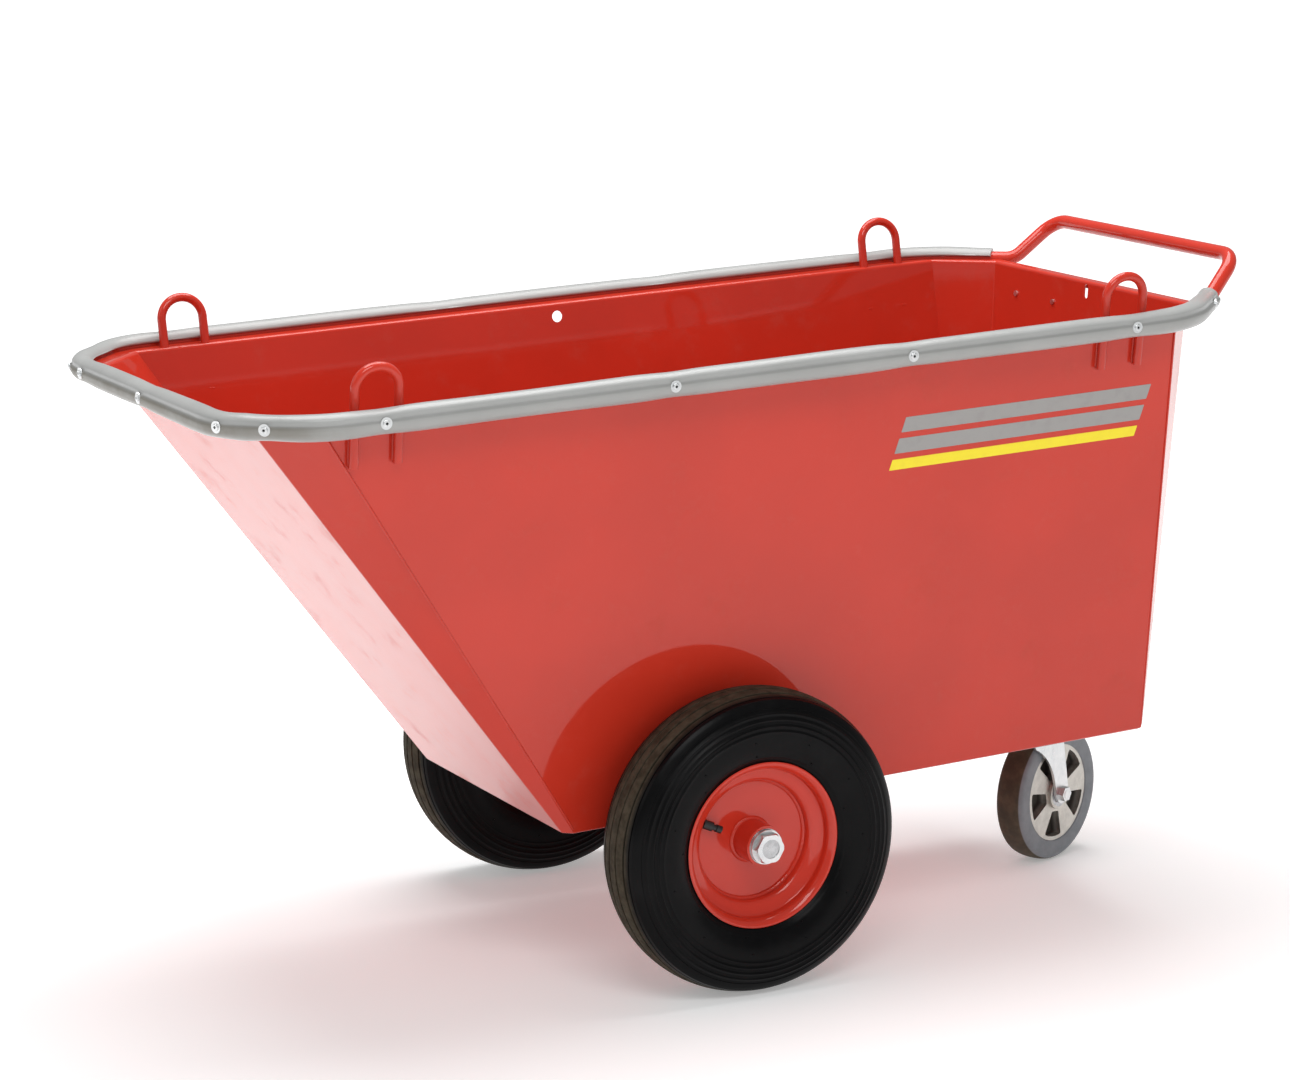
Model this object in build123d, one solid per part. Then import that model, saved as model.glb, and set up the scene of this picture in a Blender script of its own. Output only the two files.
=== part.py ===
from build123d import *
import math
import os

# Hand-pushed steel tub cart: two pneumatic wheels in front, one swivel caster behind.
# Frame: nose towards -X, push handle towards +X, left side -Y, +Z up, ground at z = 0.
# The tub leans back to front by TUB_TILT, so its parts are drawn in a tub frame whose
# origin is the middle of the front axle, and are tilted about the axle when they are written.

# ---- driving dimensions, millimetres and degrees ----
WHEEL_R = 200.0            # 4.00-8 pneumatic tyre
AXLE_X = -49.37            # places the middle of the whole length at x = 0
TUB_TILT = 2.37            # the tub's rear stands higher by this angle
SHEET = 2.0

# Tub, in the tub frame
FLOOR_Z = 18.3
RIM_Z = 612.3
FLOOR_FRONT_X = -207.4     # front end of the side panels at the floor
FLOOR_REAR_X = 684.4
FLOOR_HALF_W = 216.4
RIM_FRONT_X = -638.4
RIM_SIDE_FRONT_X = -570.7  # where the rim's straight side starts
RIM_SIDE_REAR_X = 672.0
RIM_REAR_X = 739.4
RIM_HALF_W = 303.5
NOSE_HALF_W = 234.6
TAIL_HALF_W = 234.2
FRONT_FOOT = 11.6          # length of the front corner panel's foot along x
REAR_FOOT = 8.0
REAR_BEND_R = 18.0         # rounded foot of the rear wall

# Rim tube, handle and bumper
TUBE_D = 20.0
TUBE_WALL = 2.0
TUBE_OFFSET = 35.0         # tube's centre line outside the wall's top edge
FRONT_BEND_R = 100.0
REAR_CORNER = (668.0, 338.5)
REAR_CORNER_R = 150.0
LEG_FOOT = (772.5, 237.3)  # where the tube turns up into the handle
LEG_FOOT_R = 30.0
HANDLE_X = 833.0
HANDLE_HALF_W = 217.5
HANDLE_Z = 665.5
HANDLE_R = 36.0
BUMPER_D = 32.5
HOSE_OPEN = 38.0           # the hose is open by this angle each side of the ledge
HOSE_SHORT = 19.0          # the right end of the hose is cut shorter than the left
LEDGE_GAP = 0.3

# Lifting loops
ROD_D = 12.0
LOOP_HALF_W = 29.0
LOOP_TOP = 58.0            # rod's centre line above the rim, along the wall
LOOP_FOOT = -60.0
LOOP_X = {"front_left": -498.0, "front_right": -498.0, "rear_left": 581.0, "rear_right": 588.0}

# Bumper screws, as stations along the rim
SIDE_SCREW_X = (-505.0, -115.0, 229.0, 574.0)
NOSE_SCREW_Y = (-16.0, 192.0)
END_SCREW_IN = 14.0        # last screw, in from the end of the bumper
SCREW_D = 4.2
SCREW_HEAD_D = 9.0
SCREW_WASHER_D = 15.0

# Openings in the walls
HOLE_X = 52.0
HOLE_D = 16.0
HOLE_DROP = 19.0           # below the rim, along the wall
SLOT_W = 8.5
SLOT_H = 20.0
SLOT_DROP = 15.0
PLATE_RIVET_Y = (80.0, 174.0)
PLATE_DROP = 40.0

# Front wheels
TRACK_HALF = 305.6         # wheel's middle plane from the centre plane
TYRE_HALF_W = 50.0
RIM_FLANGE_R = 110.6
WELL_R = 78.0
RIM_SHEET = 2.5
HUB_R = 27.0
HUB_HALF_L = 42.0
AXLE_D = 25.0
BEAD_R = 101.6
BEARING_R = 23.5
BEARING_W = 12.0
RUNNING = 0.04             # radial running clearance
END_PLAY = 0.3
AXLE_TUBE = 35.0

# Caster
CASTER_X = 635.4           # swivel axis behind the axle
CASTER_R = 100.0
CASTER_W = 44.0
CASTER_TRAIL = 47.9
CASTER_TURN = 22.0         # the caster stands turned by this angle
CASTER_HEIGHT = 235.0
CASTER_HUB_R = 70.5
CASTER_HUB_HALF_L = 25.0
FORK_SHEET = 4.0
CASTER_PLATE = (135.0, 110.0, 6.0)
CASTER_BOLTS = (105.0, 80.0)

TUB = Pos(AXLE_X, 0, WHEEL_R) * Rot(0, -TUB_TILT, 0)
CASTER = Pos(AXLE_X + CASTER_X, 0, 0)
FORK = CASTER * Rot(0, 0, CASTER_TURN)
MIRROR = {"left": -1, "right": 1}

os.makedirs("parts", exist_ok=True)
written = []


def save(name, shape, place=Location()):
    """Write one node, moved from its drawing frame into the part's frame."""
    solids = shape.solids() if not isinstance(shape, (list, tuple)) else list(shape)
    moved = [place * solid for solid in solids]
    node = moved[0] if len(moved) == 1 else Compound(children=moved)
    node.label = name
    export_step(node, f"parts/{name}.step")
    written.append(node)


def flip(shape):
    return mirror(shape, Plane.XZ)


def rod(start, end, diameter):
    """A round bar from one point to another."""
    axis = Vector(*end) - Vector(*start)
    return extrude(Plane(Vector(*start), z_dir=axis) * Circle(diameter / 2), axis.length)


def hexagon(across_flats, height):
    return extrude(RegularPolygon(across_flats / 2, 6, major_radius=False), height)


# ---- tub panels ----
def inset_corner(planes, depth):
    """The point where three planes meet, each moved inwards by its own depth."""
    n = [plane.z_dir for plane in planes]
    d = [plane.z_dir.dot(plane.origin) - step for plane, step in zip(planes, depth)]
    top = n[1].cross(n[2]) * d[0] + n[2].cross(n[0]) * d[1] + n[0].cross(n[1]) * d[2]
    return top * (1 / n[0].dot(n[1].cross(n[2])))


def outward(a, b, c):
    """The plane through three points, with its normal away from the tub's middle."""
    plane = Plane(a, x_dir=b - a, z_dir=(b - a).cross(c - a))
    inside = Vector(100, 0, 300)
    return plane if plane.z_dir.dot(inside - a) < 0 else Plane(a, x_dir=b - a, z_dir=-plane.z_dir)


front_foot_y = FRONT_FOOT * (RIM_HALF_W - NOSE_HALF_W) / (RIM_SIDE_FRONT_X - RIM_FRONT_X)
rear_foot_y = REAR_FOOT * (RIM_HALF_W - TAIL_HALF_W) / (RIM_REAR_X - RIM_SIDE_REAR_X)
foot = {
    "side_front": Vector(FLOOR_FRONT_X, FLOOR_HALF_W, FLOOR_Z),
    "nose": Vector(FLOOR_FRONT_X - FRONT_FOOT, FLOOR_HALF_W - front_foot_y, FLOOR_Z),
    "side_rear": Vector(FLOOR_REAR_X - REAR_FOOT, FLOOR_HALF_W, FLOOR_Z),
    "tail": Vector(FLOOR_REAR_X, FLOOR_HALF_W - rear_foot_y, FLOOR_Z),
}
rim = {
    "side_front": Vector(RIM_SIDE_FRONT_X, RIM_HALF_W, RIM_Z),
    "nose": Vector(RIM_FRONT_X, NOSE_HALF_W, RIM_Z),
    "side_rear": Vector(RIM_SIDE_REAR_X, RIM_HALF_W, RIM_Z),
    "tail": Vector(RIM_REAR_X, TAIL_HALF_W, RIM_Z),
}


def other_side(point):
    return Vector(point.X, -point.Y, point.Z)


wall = {
    "floor": outward(foot["side_front"], foot["side_rear"], foot["tail"]),
    "top": outward(rim["side_front"], rim["side_rear"], rim["tail"]),
    "side": outward(foot["side_front"], foot["side_rear"], rim["side_rear"]),
    "nose": outward(foot["nose"], other_side(foot["nose"]), rim["nose"]),
    "tail": outward(foot["tail"], other_side(foot["tail"]), rim["tail"]),
    "front_corner": outward(foot["side_front"], foot["nose"], rim["nose"]),
    "rear_corner": outward(foot["side_rear"], foot["tail"], rim["tail"]),
}
meets = {
    "side_front": ("side", "front_corner"),
    "nose": ("nose", "front_corner"),
    "side_rear": ("side", "rear_corner"),
    "tail": ("tail", "rear_corner"),
}


def corner(level, name, depth):
    """A corner of the tub, on its outer face (depth 0) or its inner face (depth SHEET)."""
    end_depth = depth if level == "floor" else 0
    planes = [wall[level], wall[meets[name][0]], wall[meets[name][1]]]
    return inset_corner(planes, (end_depth, depth, depth))


def panel(names):
    """A flat sheet between two or more wall corners, mitred to its neighbours."""
    return ConvexPolyhedron([corner(level, name, depth)
                             for name in names for level in ("floor", "top") for depth in (0, SHEET)])


def whole_panel(name):
    """A sheet that crosses the centre plane, from a corner to its mirror image."""
    half = [corner(level, name, depth) for level in ("floor", "top") for depth in (0, SHEET)]
    return ConvexPolyhedron(half + [other_side(point) for point in half])


def floor_sheet():
    half = [corner("floor", name, depth) for name in meets for depth in (0, SHEET)]
    return ConvexPolyhedron(half + [other_side(point) for point in half])


bend_edge_x = corner("floor", "tail", 0).X
tub_block = ConvexPolyhedron([point for name in meets for level in ("floor", "top")
                              for point in (corner(level, name, 0), other_side(corner(level, name, 0)))])
bottom_rear = tub_block.edges().filter_by(Axis.Y).sort_by(lambda e: e.center().X - 10 * e.center().Z)[-1]
rounded_block = fillet(bottom_rear, REAR_BEND_R)
inner_block = ConvexPolyhedron([point for name in meets for level in ("floor", "top")
                                for point in (corner(level, name, SHEET),
                                              other_side(corner(level, name, SHEET)))])
inner_rear = inner_block.edges().filter_by(Axis.Y).sort_by(lambda e: e.center().X - 10 * e.center().Z)[-1]
rounded_inner = fillet(inner_rear, REAR_BEND_R - SHEET)
bend_sheet = rounded_block - rounded_inner

# The rear wall and its rounded foot are one sheet; the floor ends where the bend starts.
wall_plane = wall["tail"]
bend_reach = REAR_BEND_R * math.tan(math.radians(45) - math.asin(-wall_plane.z_dir.Z) / 2) + 1
foot_zone = Pos(bend_edge_x - bend_reach / 2 + 1, 0, FLOOR_Z + 12) * Box(
    bend_reach + 2, 2 * FLOOR_HALF_W + 40, 26)
bend_piece = bend_sheet & foot_zone
side_cut = panel(("side_front", "side_rear"))
rear_corner_cut = panel(("side_rear", "tail"))
bend_piece = bend_piece - side_cut - flip(side_cut) - rear_corner_cut - flip(rear_corner_cut)
rear_wall = (whole_panel("tail") & rounded_block) - foot_zone + bend_piece
floor_panel = floor_sheet() - foot_zone

hole_dir = -wall["side"].z_dir
along_wall = (rim["side_rear"] - foot["side_rear"])
along_wall = (along_wall - Vector(along_wall.X, 0, 0)).normalized()
hole_at = Vector(HOLE_X, RIM_HALF_W, RIM_Z) - along_wall * HOLE_DROP
side_panel = panel(("side_front", "side_rear")) & rounded_block
side_panel -= rod(hole_at - hole_dir * 5, hole_at + hole_dir * 5, HOLE_D)

tail_up = (Vector(rim["tail"].X, 0, RIM_Z) - Vector(foot["tail"].X, 0, FLOOR_Z)).normalized()
slot_at = Vector(rim["tail"].X, 0, RIM_Z) - tail_up * SLOT_DROP
slot_plane = Plane(slot_at - wall_plane.z_dir * 6, x_dir=tail_up, z_dir=wall_plane.z_dir)
rear_wall -= extrude(slot_plane * SlotOverall(SLOT_H, SLOT_W), 12)
plate_at = [Vector(rim["tail"].X, y, RIM_Z) - tail_up * PLATE_DROP for y in PLATE_RIVET_Y]
RIVET_D = 4.0
for point in plate_at:
    rear_wall -= rod(point - wall_plane.z_dir * 6, point + wall_plane.z_dir * 6, RIVET_D)

save("side_panel_right", side_panel, TUB)
save("side_panel_left", flip(side_panel), TUB)
front_corner = panel(("side_front", "nose"))
rear_corner = panel(("side_rear", "tail")) & rounded_block
for side, sheet in (("right", lambda s: s), ("left", flip)):
    save(f"front_corner_{side}", sheet(front_corner), TUB)
    save(f"rear_corner_{side}", sheet(rear_corner), TUB)
save("front_panel", whole_panel("nose"), TUB)
save("floor_panel", floor_panel, TUB)
save("rear_panel", rear_wall, TUB)


# ---- rim tube with the push handle, ledge and bumper ----
def offset_corner():
    """Corners of the tube's centre line round the nose, TUBE_OFFSET outside the rim."""
    a, b = rim["nose"], rim["side_front"]
    along = (b - a).normalized()
    away = Vector(-along.Y, along.X)
    start = a + away * TUBE_OFFSET
    nose_x = RIM_FRONT_X - TUBE_OFFSET
    side_y = RIM_HALF_W + TUBE_OFFSET
    nose_y = start.Y + along.Y * (nose_x - start.X) / along.X
    side_x = start.X + along.X * (side_y - start.Y) / along.Y
    return (nose_x, nose_y), (side_x, side_y)


nose_turn, side_turn = offset_corner()
half_path = [nose_turn, side_turn, REAR_CORNER, LEG_FOOT]
flat_radii = [FRONT_BEND_R, FRONT_BEND_R, REAR_CORNER_R]


handle_turn = Vector(HANDLE_X, HANDLE_HALF_W, HANDLE_Z)
tube_points = [Vector(nose_turn[0], 0, RIM_Z)] + [Vector(x, y, RIM_Z) for x, y in half_path]
tube_points += [handle_turn, Vector(HANDLE_X, 0, HANDLE_Z)]
tube_line = FilletPolyline(*tube_points, radius=flat_radii + [LEG_FOOT_R, HANDLE_R])
ring = Circle(TUBE_D / 2) - Circle(TUBE_D / 2 - TUBE_WALL)
half_tube = sweep(Plane(tube_points[0], z_dir=(0, 1, 0)) * ring, path=tube_line)
rim_tube = half_tube + flip(half_tube)

foot_turn = handle_turn - Vector(*LEG_FOOT, RIM_Z)
foot_run = Vector(*LEG_FOOT) - Vector(*REAR_CORNER)
foot_tangent = LEG_FOOT_R * math.tan(math.radians(foot_turn.get_angle(foot_run)) / 2)
bumper_end = Vector(*LEG_FOOT) - foot_run.normalized() * (foot_tangent + 1)
hose_end = {"left": bumper_end, "right": bumper_end - foot_run.normalized() * HOSE_SHORT}
ledge_points = [Vector(x, y, RIM_Z) for x, y in half_path[:-1]] + [Vector(bumper_end.X, bumper_end.Y, RIM_Z)]
ledge_points = [other_side(point) for point in ledge_points[::-1]] + ledge_points
bumper_points = ledge_points[:-1] + [Vector(hose_end["right"].X, hose_end["right"].Y, RIM_Z)]
bumper_line = FilletPolyline(*bumper_points, radius=flat_radii[::-1] + flat_radii)
# The hose is open towards the tub, where the ledge meets the tube.
mouth_x, mouth_y = BUMPER_D * math.sin(math.radians(HOSE_OPEN)), BUMPER_D * math.cos(math.radians(HOSE_OPEN))
hose = Circle(BUMPER_D / 2) - Circle(TUBE_D / 2 + 0.05)
hose -= Polygon((0, 0), (mouth_x, mouth_y), (-mouth_x, mouth_y), align=None)
bumper_start = Plane(bumper_points[0], x_dir=(0, 0, 1), z_dir=bumper_points[1] - bumper_points[0])
bumper = sweep(bumper_start * hose, path=bumper_line)

outline = FilletPolyline(*[Vector(point.X, point.Y) for point in ledge_points],
                         radius=flat_radii[::-1] + flat_radii)
rim_face = make_face([outline, Line(outline @ 1, outline @ 0)])
ledge_face = offset(rim_face, -(TUBE_D / 2 + LEDGE_GAP), kind=Kind.INTERSECTION)
mouth = [rim[name] for name in ("nose", "side_front", "side_rear", "tail")]
mouth = [Vector(point.X, point.Y) for point in mouth]
mouth = mouth + [other_side(point) for point in mouth[::-1]]
mouth_face = make_face(Polyline(*mouth, close=True))
ledge = Pos(0, 0, RIM_Z - SHEET) * extrude(ledge_face - mouth_face, SHEET)
lip_x = ledge.bounding_box().max.X
LIP_H = 14.0
lip_half_w = bumper_end.Y - TUBE_D
ledge += Pos(lip_x - SHEET / 2, 0, RIM_Z - LIP_H / 2) * Box(SHEET, 2 * lip_half_w, LIP_H)


# ---- bumper screws ----
def screw_stations():
    """Point and outward direction of each screw on the tube's centre line."""
    stations = []
    for name, side in MIRROR.items():
        stations += [(Vector(x, side * (RIM_HALF_W + TUBE_OFFSET)), Vector(0, side)) for x in SIDE_SCREW_X]
        corner_dir = Vector(*side_turn) - Vector(*nose_turn)
        away = Vector(-corner_dir.Y, side * corner_dir.X).normalized()
        middle = (Vector(*side_turn) + Vector(*nose_turn)) * 0.5
        stations.append((Vector(middle.X, side * middle.Y), away))
        bend_half = math.radians(corner_dir.get_angle(Vector(0, 1)) / 2)
        bend_start = nose_turn[1] - FRONT_BEND_R * math.tan(bend_half)
        turn = Vector(-math.cos(bend_half), side * math.sin(bend_half))
        centre = Vector(nose_turn[0] + FRONT_BEND_R, side * bend_start)
        stations.append((centre + turn * FRONT_BEND_R, turn))
        last = hose_end[name] - foot_run.normalized() * END_SCREW_IN
        away = Vector(-foot_run.Y, side * foot_run.X).normalized()
        stations.append((Vector(last.X, side * last.Y), away))
    stations += [(Vector(nose_turn[0], y), Vector(-1, 0)) for y in NOSE_SCREW_Y]
    return stations


WASHER_T = 1.2
WASHER_SUNK = 1.5          # the washers press into the rubber
HEAD_T = 1.8
SHANK_L = 12.0
screws, washers = [], []
for at, away in screw_stations():
    seat = Plane(Vector(at.X, at.Y, RIM_Z) + away * (BUMPER_D / 2 - WASHER_SUNK), z_dir=away)
    flat = extrude(seat * Circle(SCREW_WASHER_D / 2), 6)
    shaft = extrude(seat * Circle(SCREW_D / 2 + 0.1), -SHANK_L)
    bumper -= flat + shaft
    rim_tube -= shaft
    washers.append(seat * (Cylinder(SCREW_WASHER_D / 2, WASHER_T, align=(Align.CENTER, Align.CENTER, Align.MIN))
                           - Cylinder(SCREW_D / 2 + 0.1, 10)))
    head = Pos(0, 0, WASHER_T) * Cylinder(SCREW_HEAD_D / 2, HEAD_T,
                                          align=(Align.CENTER, Align.CENTER, Align.MIN))
    head = fillet(head.edges().sort_by(Axis.Z)[-1], 1.0)
    shank = Pos(0, 0, WASHER_T) * Cylinder(SCREW_D / 2, SHANK_L, align=(Align.CENTER, Align.CENTER, Align.MAX))
    recess = Pos(0, 0, WASHER_T + HEAD_T) * extrude(RegularPolygon(2.0, 6), -1.4)
    screws.append(seat * (head + shank - recess))

# ---- lifting loops ----
away = wall["side"].z_dir
loops = {}
for name, x in LOOP_X.items():
    base = Vector(x, RIM_HALF_W, RIM_Z) + away * (ROD_D / 2 + 0.05)
    low = base + along_wall * LOOP_FOOT
    high = base + along_wall * (LOOP_TOP + ROD_D / 2)
    step = Vector(LOOP_HALF_W, 0, 0)
    line = FilletPolyline(low - step, high - step, high + step, low + step,
                          radius=[LOOP_HALF_W - 0.5] * 2)
    loop = sweep(Plane(low - step, z_dir=along_wall) * Circle(ROD_D / 2), path=line)
    legs = [rod(low + step * side, high + step * side, ROD_D + 0.6) for side in (-1, 1)]
    if name.endswith("left"):
        loop, legs = flip(loop), [flip(leg) for leg in legs]
    loops[name] = loop
    for leg in legs:
        ledge -= leg

save("rim_tube", rim_tube, TUB)
save("rubber_bumper", bumper, TUB)
save("rim_ledge", ledge, TUB)
save("bumper_screws", screws, TUB)
save("bumper_washers", washers, TUB)
for name, loop in loops.items():
    save(f"lifting_loop_{name}", loop, TUB)

# ---- blank rating plate on the back wall ----
PLATE_T = 1.0
plate_middle = (plate_at[0] + plate_at[1]) * 0.5
plate_plane = Plane(plate_middle, x_dir=(0, 1, 0), z_dir=wall_plane.z_dir)
plate_blank = RectangleRounded(plate_at[1].Y - plate_at[0].Y + 14, 52, 4)
plate = extrude(plate_plane * plate_blank, PLATE_T)
rivets = []
for point in plate_at:
    through = rod(point - wall_plane.z_dir * 6, point + wall_plane.z_dir * 6, RIVET_D)
    plate -= through
    outer = rod(point + wall_plane.z_dir * PLATE_T, point + wall_plane.z_dir * (PLATE_T + 1.5), 8)
    inner = rod(point - wall_plane.z_dir * SHEET, point - wall_plane.z_dir * (SHEET + 2), 8)
    shank = rod(point - wall_plane.z_dir * (SHEET + 1), point + wall_plane.z_dir * (PLATE_T + 1), RIVET_D - 0.1)
    rivets.append(outer + inner + shank)
save("rating_plate", plate, TUB)
save("plate_rivets", rivets, TUB)

# ---- axle ----
TUBE_HALF_L = 246.0
STUB_IN = 180.0
hub_face = TRACK_HALF + HUB_HALF_L
axle_tube = Box(AXLE_TUBE, 2 * TUBE_HALF_L, AXLE_TUBE) - Box(AXLE_D + 0.1, 2 * TUBE_HALF_L + 2, AXLE_D + 0.1)
axle_tube = chamfer(axle_tube.edges().filter_by(Axis.Y).group_by(
    lambda e: round(Vector(e.center().X, 0, e.center().Z).length, 1))[-1], 1.5)
save("axle_tube", axle_tube, Pos(AXLE_X, 0, WHEEL_R))
AXLE_WASHER = (45.0, 4.0)
NUT_AF = 36.0
NUT_T = 10.0
washer_y = hub_face + END_PLAY
axle_end = washer_y + AXLE_WASHER[1] + NUT_T - 1
shoulder_r = 17.0
shoulder_in = TUBE_HALF_L + 0.1
shoulder_out = TRACK_HALF - HUB_HALF_L - END_PLAY
axle_nuts, axle_washers = [], []
for side, sign in MIRROR.items():
    stub = rod((0, sign * STUB_IN, 0), (0, sign * axle_end, 0), AXLE_D)
    stub += rod((0, sign * shoulder_in, 0), (0, sign * shoulder_out, 0), 2 * shoulder_r)
    save(f"stub_axle_{side}", stub, Pos(AXLE_X, 0, WHEEL_R))
    washer = rod((0, sign * washer_y, 0), (0, sign * (washer_y + AXLE_WASHER[1]), 0), AXLE_WASHER[0])
    axle_washers.append(Pos(AXLE_X, 0, WHEEL_R) * (washer - rod((0, 0, 0), (0, sign * 400, 0), AXLE_D + 0.2)))
    seat = Plane((0, sign * (washer_y + AXLE_WASHER[1]), 0), x_dir=(1, 0, 0), z_dir=(0, sign, 0))
    nut = seat * (hexagon(NUT_AF, NUT_T) & Cone(24.2, 19.2, NUT_T, align=(Align.CENTER, Align.CENTER, Align.MIN)))
    axle_nuts.append(Pos(AXLE_X, 0, WHEEL_R) * (nut - rod((0, 0, 0), (0, sign * 400, 0), AXLE_D + 0.1)))
save("axle_washers", axle_washers)
save("axle_nuts", axle_nuts)


# ---- front wheels, drawn with the wheel's axis along Z and the outer face up ----
def spun(section):
    """Turn a section drawn with x as the radius and y along the axis into a solid."""
    return revolve(Plane.XZ * section, Axis.Z)


def tyre_section():
    """Outline of the tyre: crown, sidewalls and the two beads that sit on the rim."""
    crown = ThreePointArc((192, 38), (WHEEL_R, 0), (192, -38))
    liner = ThreePointArc((158, TYRE_HALF_W - 6), (WHEEL_R - 13, 0), (158, 6 - TYRE_HALF_W))
    edges = [crown, liner]
    for side in (-1, 1):
        wall_points = [(109, 34.2), (114, 38.5), (132, 47.5), (158, TYRE_HALF_W), (180, 45), (192, 38)]
        lining_points = [(158, TYRE_HALF_W - 6), (130, 39), (112, 28), (106, 21)]
        bead_points = [(106, 21), (BEAD_R, 21), (BEAD_R, 29.5), (104, 31.9), (109, 34.2)]
        edges.append(Spline(*[(r, side * y) for r, y in wall_points]))
        edges.append(Spline(*[(r, side * y) for r, y in lining_points]))
        edges.append(Polyline(*[(r, side * y) for r, y in bead_points]))
    return make_face(edges)


def wheel_rim():
    """Pressed rim with a drop centre, welded to a flat disc."""
    half = [(RIM_FLANGE_R - 1.3, 36.2), (104, 34), (100, 31), (100, 20), (WELL_R + 5, 14), (WELL_R + 2, 0)]
    line = FilletPolyline(*half, *[(r, -y) for r, y in half[-2::-1]],
                          radius=[3, 3, 5, 4, 20, 4, 5, 3, 3])
    barrel = spun(trace(line, RIM_SHEET))
    disc = Cylinder(WELL_R + 3, 4) - Cylinder(HUB_R + 0.05, 10)
    return barrel + disc


tyre = spun(tyre_section())
rim_solid = wheel_rim()
TREAD_GROOVES = (-24.0, -8.0, 8.0, 24.0)
for y in TREAD_GROOVES:
    tyre -= Pos(0, 0, y) * (Cylinder(WHEEL_R + 5, 4.5) - Cylinder(WHEEL_R - 6, 6))
inner_tube = spun(Pos(150, 0) * (Ellipse(29, 36) - Ellipse(26.5, 33.5)))
hub = Cylinder(HUB_R, 2 * HUB_HALF_L) - Cylinder(AXLE_D / 2 + 4, 200)
for face in (-1, 1):
    hub -= Pos(0, 0, face * (HUB_HALF_L - BEARING_W / 2)) * Cylinder(BEARING_R + 0.02, BEARING_W + 0.001)
bearing = Cylinder(BEARING_R, BEARING_W) - Cylinder(AXLE_D / 2 + RUNNING, 40)
groove = Cylinder(BEARING_R - 4, 2) - Cylinder(AXLE_D / 2 + 3.5, 3)
bearing = bearing - Pos(0, 0, BEARING_W / 2) * groove - Pos(0, 0, -BEARING_W / 2) * groove

VALVE_ANGLE = 157.0        # from +X towards +Z, seen from the left
VALVE_D = 12.0
VALVE_FOOT = WELL_R + 1.5
VALVE_TIP = 59.0
VALVE_Z = 9.0
stem = rod((VALVE_FOOT, 0, VALVE_Z), (VALVE_TIP + 8, 0, VALVE_Z + 2.5), VALVE_D)
stem_tip = rod((VALVE_TIP + 8, 0, VALVE_Z + 2.5), (VALVE_TIP + 3, 0, VALVE_Z + 3.3), 8)
cap = rod((VALVE_TIP + 2.5, 0, VALVE_Z + 3.4), (VALVE_TIP - 5, 0, VALVE_Z + 4.5), 10)
stem = stem + stem_tip

for side, sign in MIRROR.items():
    centre = Pos(AXLE_X, sign * TRACK_HALF, WHEEL_R)
    # The outer face looks along sign * Y; X of the drawing stays X of the part.
    seat = centre * Plane(origin=(0, 0, 0), x_dir=(1, 0, 0), z_dir=(0, sign, 0)).location
    valve_turn = Rot(0, 0, VALVE_ANGLE * -sign)
    save(f"tyre_{side}", tyre, seat)
    save(f"inner_tube_{side}", inner_tube, seat)
    save(f"wheel_rim_{side}", rim_solid - valve_turn * stem, seat)
    save(f"wheel_hub_{side}", hub, seat)
    for face, name in ((1, "outer"), (-1, "inner")):
        save(f"bearing_{name}_{side}", bearing, seat * Pos(0, 0, face * (HUB_HALF_L - BEARING_W / 2)))
    save(f"valve_stem_{side}", valve_turn * stem, seat)
    save(f"valve_cap_{side}", valve_turn * cap, seat)

# ---- caster, drawn with its swivel axis on Z and trailing towards +X ----
plate_x, plate_y, plate_t = CASTER_PLATE
plate_low = CASTER_HEIGHT - plate_t
bolt_spots = [(sx * CASTER_BOLTS[0] / 2, sy * CASTER_BOLTS[1] / 2) for sx in (-1, 1) for sy in (-1, 1)]
PACKER = (150.0, 124.0)
floor_block = TUB * Pos(FLOOR_REAR_X - 200, 0, FLOOR_Z + 100) * Box(700, 400, 200)
packer = CASTER * Pos(0, 0, CASTER_HEIGHT + 20) * Box(PACKER[0], PACKER[1], 40) - floor_block
caster_plate = Pos(0, 0, plate_low + plate_t / 2) * extrude(RectangleRounded(plate_x, plate_y, 10), plate_t / 2,
                                                             both=True)
caster_plate -= Cylinder(8.1, 600)
bolts = []
BOLT_D = 10.0
for x, y in bolt_spots:
    packer -= CASTER * Pos(x, y, CASTER_HEIGHT) * Cylinder(BOLT_D / 2 + 0.1, 60)
    caster_plate -= Pos(x, y, 0) * Cylinder(BOLT_D / 2 + 0.5, 600)
    shank = Pos(x, y, plate_low) * Cylinder(BOLT_D / 2, plate_t + 6, align=(Align.CENTER, Align.CENTER, Align.MIN))
    bolts.append(Pos(x, y, plate_low - 6.4) * hexagon(17, 6.4) + shank)
save("caster_packer", packer)
save("caster_plate", caster_plate, CASTER)
save("caster_plate_bolts", bolts, CASTER)

CROWN_Z = 206.0
CROWN_T = 5.0
CUP_R = 44.0
cup_low = CROWN_Z + CROWN_T + 4
cup = Pos(0, 0, cup_low) * Cylinder(CUP_R, plate_low - cup_low, align=(Align.CENTER, Align.CENTER, Align.MIN))
cup = fillet(cup.edges().sort_by(Axis.Z)[0], 5)
cup -= Cylinder(8.1, 600)
ball_ring_r = 34.0
BALL_D = 7.0
ball_z = CROWN_Z + CROWN_T + BALL_D / 2 + 0.3
race = Pos(0, 0, ball_z) * Torus(ball_ring_r, BALL_D / 2 + 0.4)
cup -= race
kingpin = Cylinder(8, plate_low + plate_t - CROWN_Z + 7, align=(Align.CENTER, Align.CENTER, Align.MAX))
kingpin = Pos(0, 0, CASTER_HEIGHT) * kingpin
kingpin += Pos(0, 0, CROWN_Z - 7) * Cylinder(14, 6.6, align=(Align.CENTER, Align.CENTER, Align.MIN))
save("caster_race_cup", cup, CASTER)
save("caster_kingpin", kingpin, CASTER)

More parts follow.
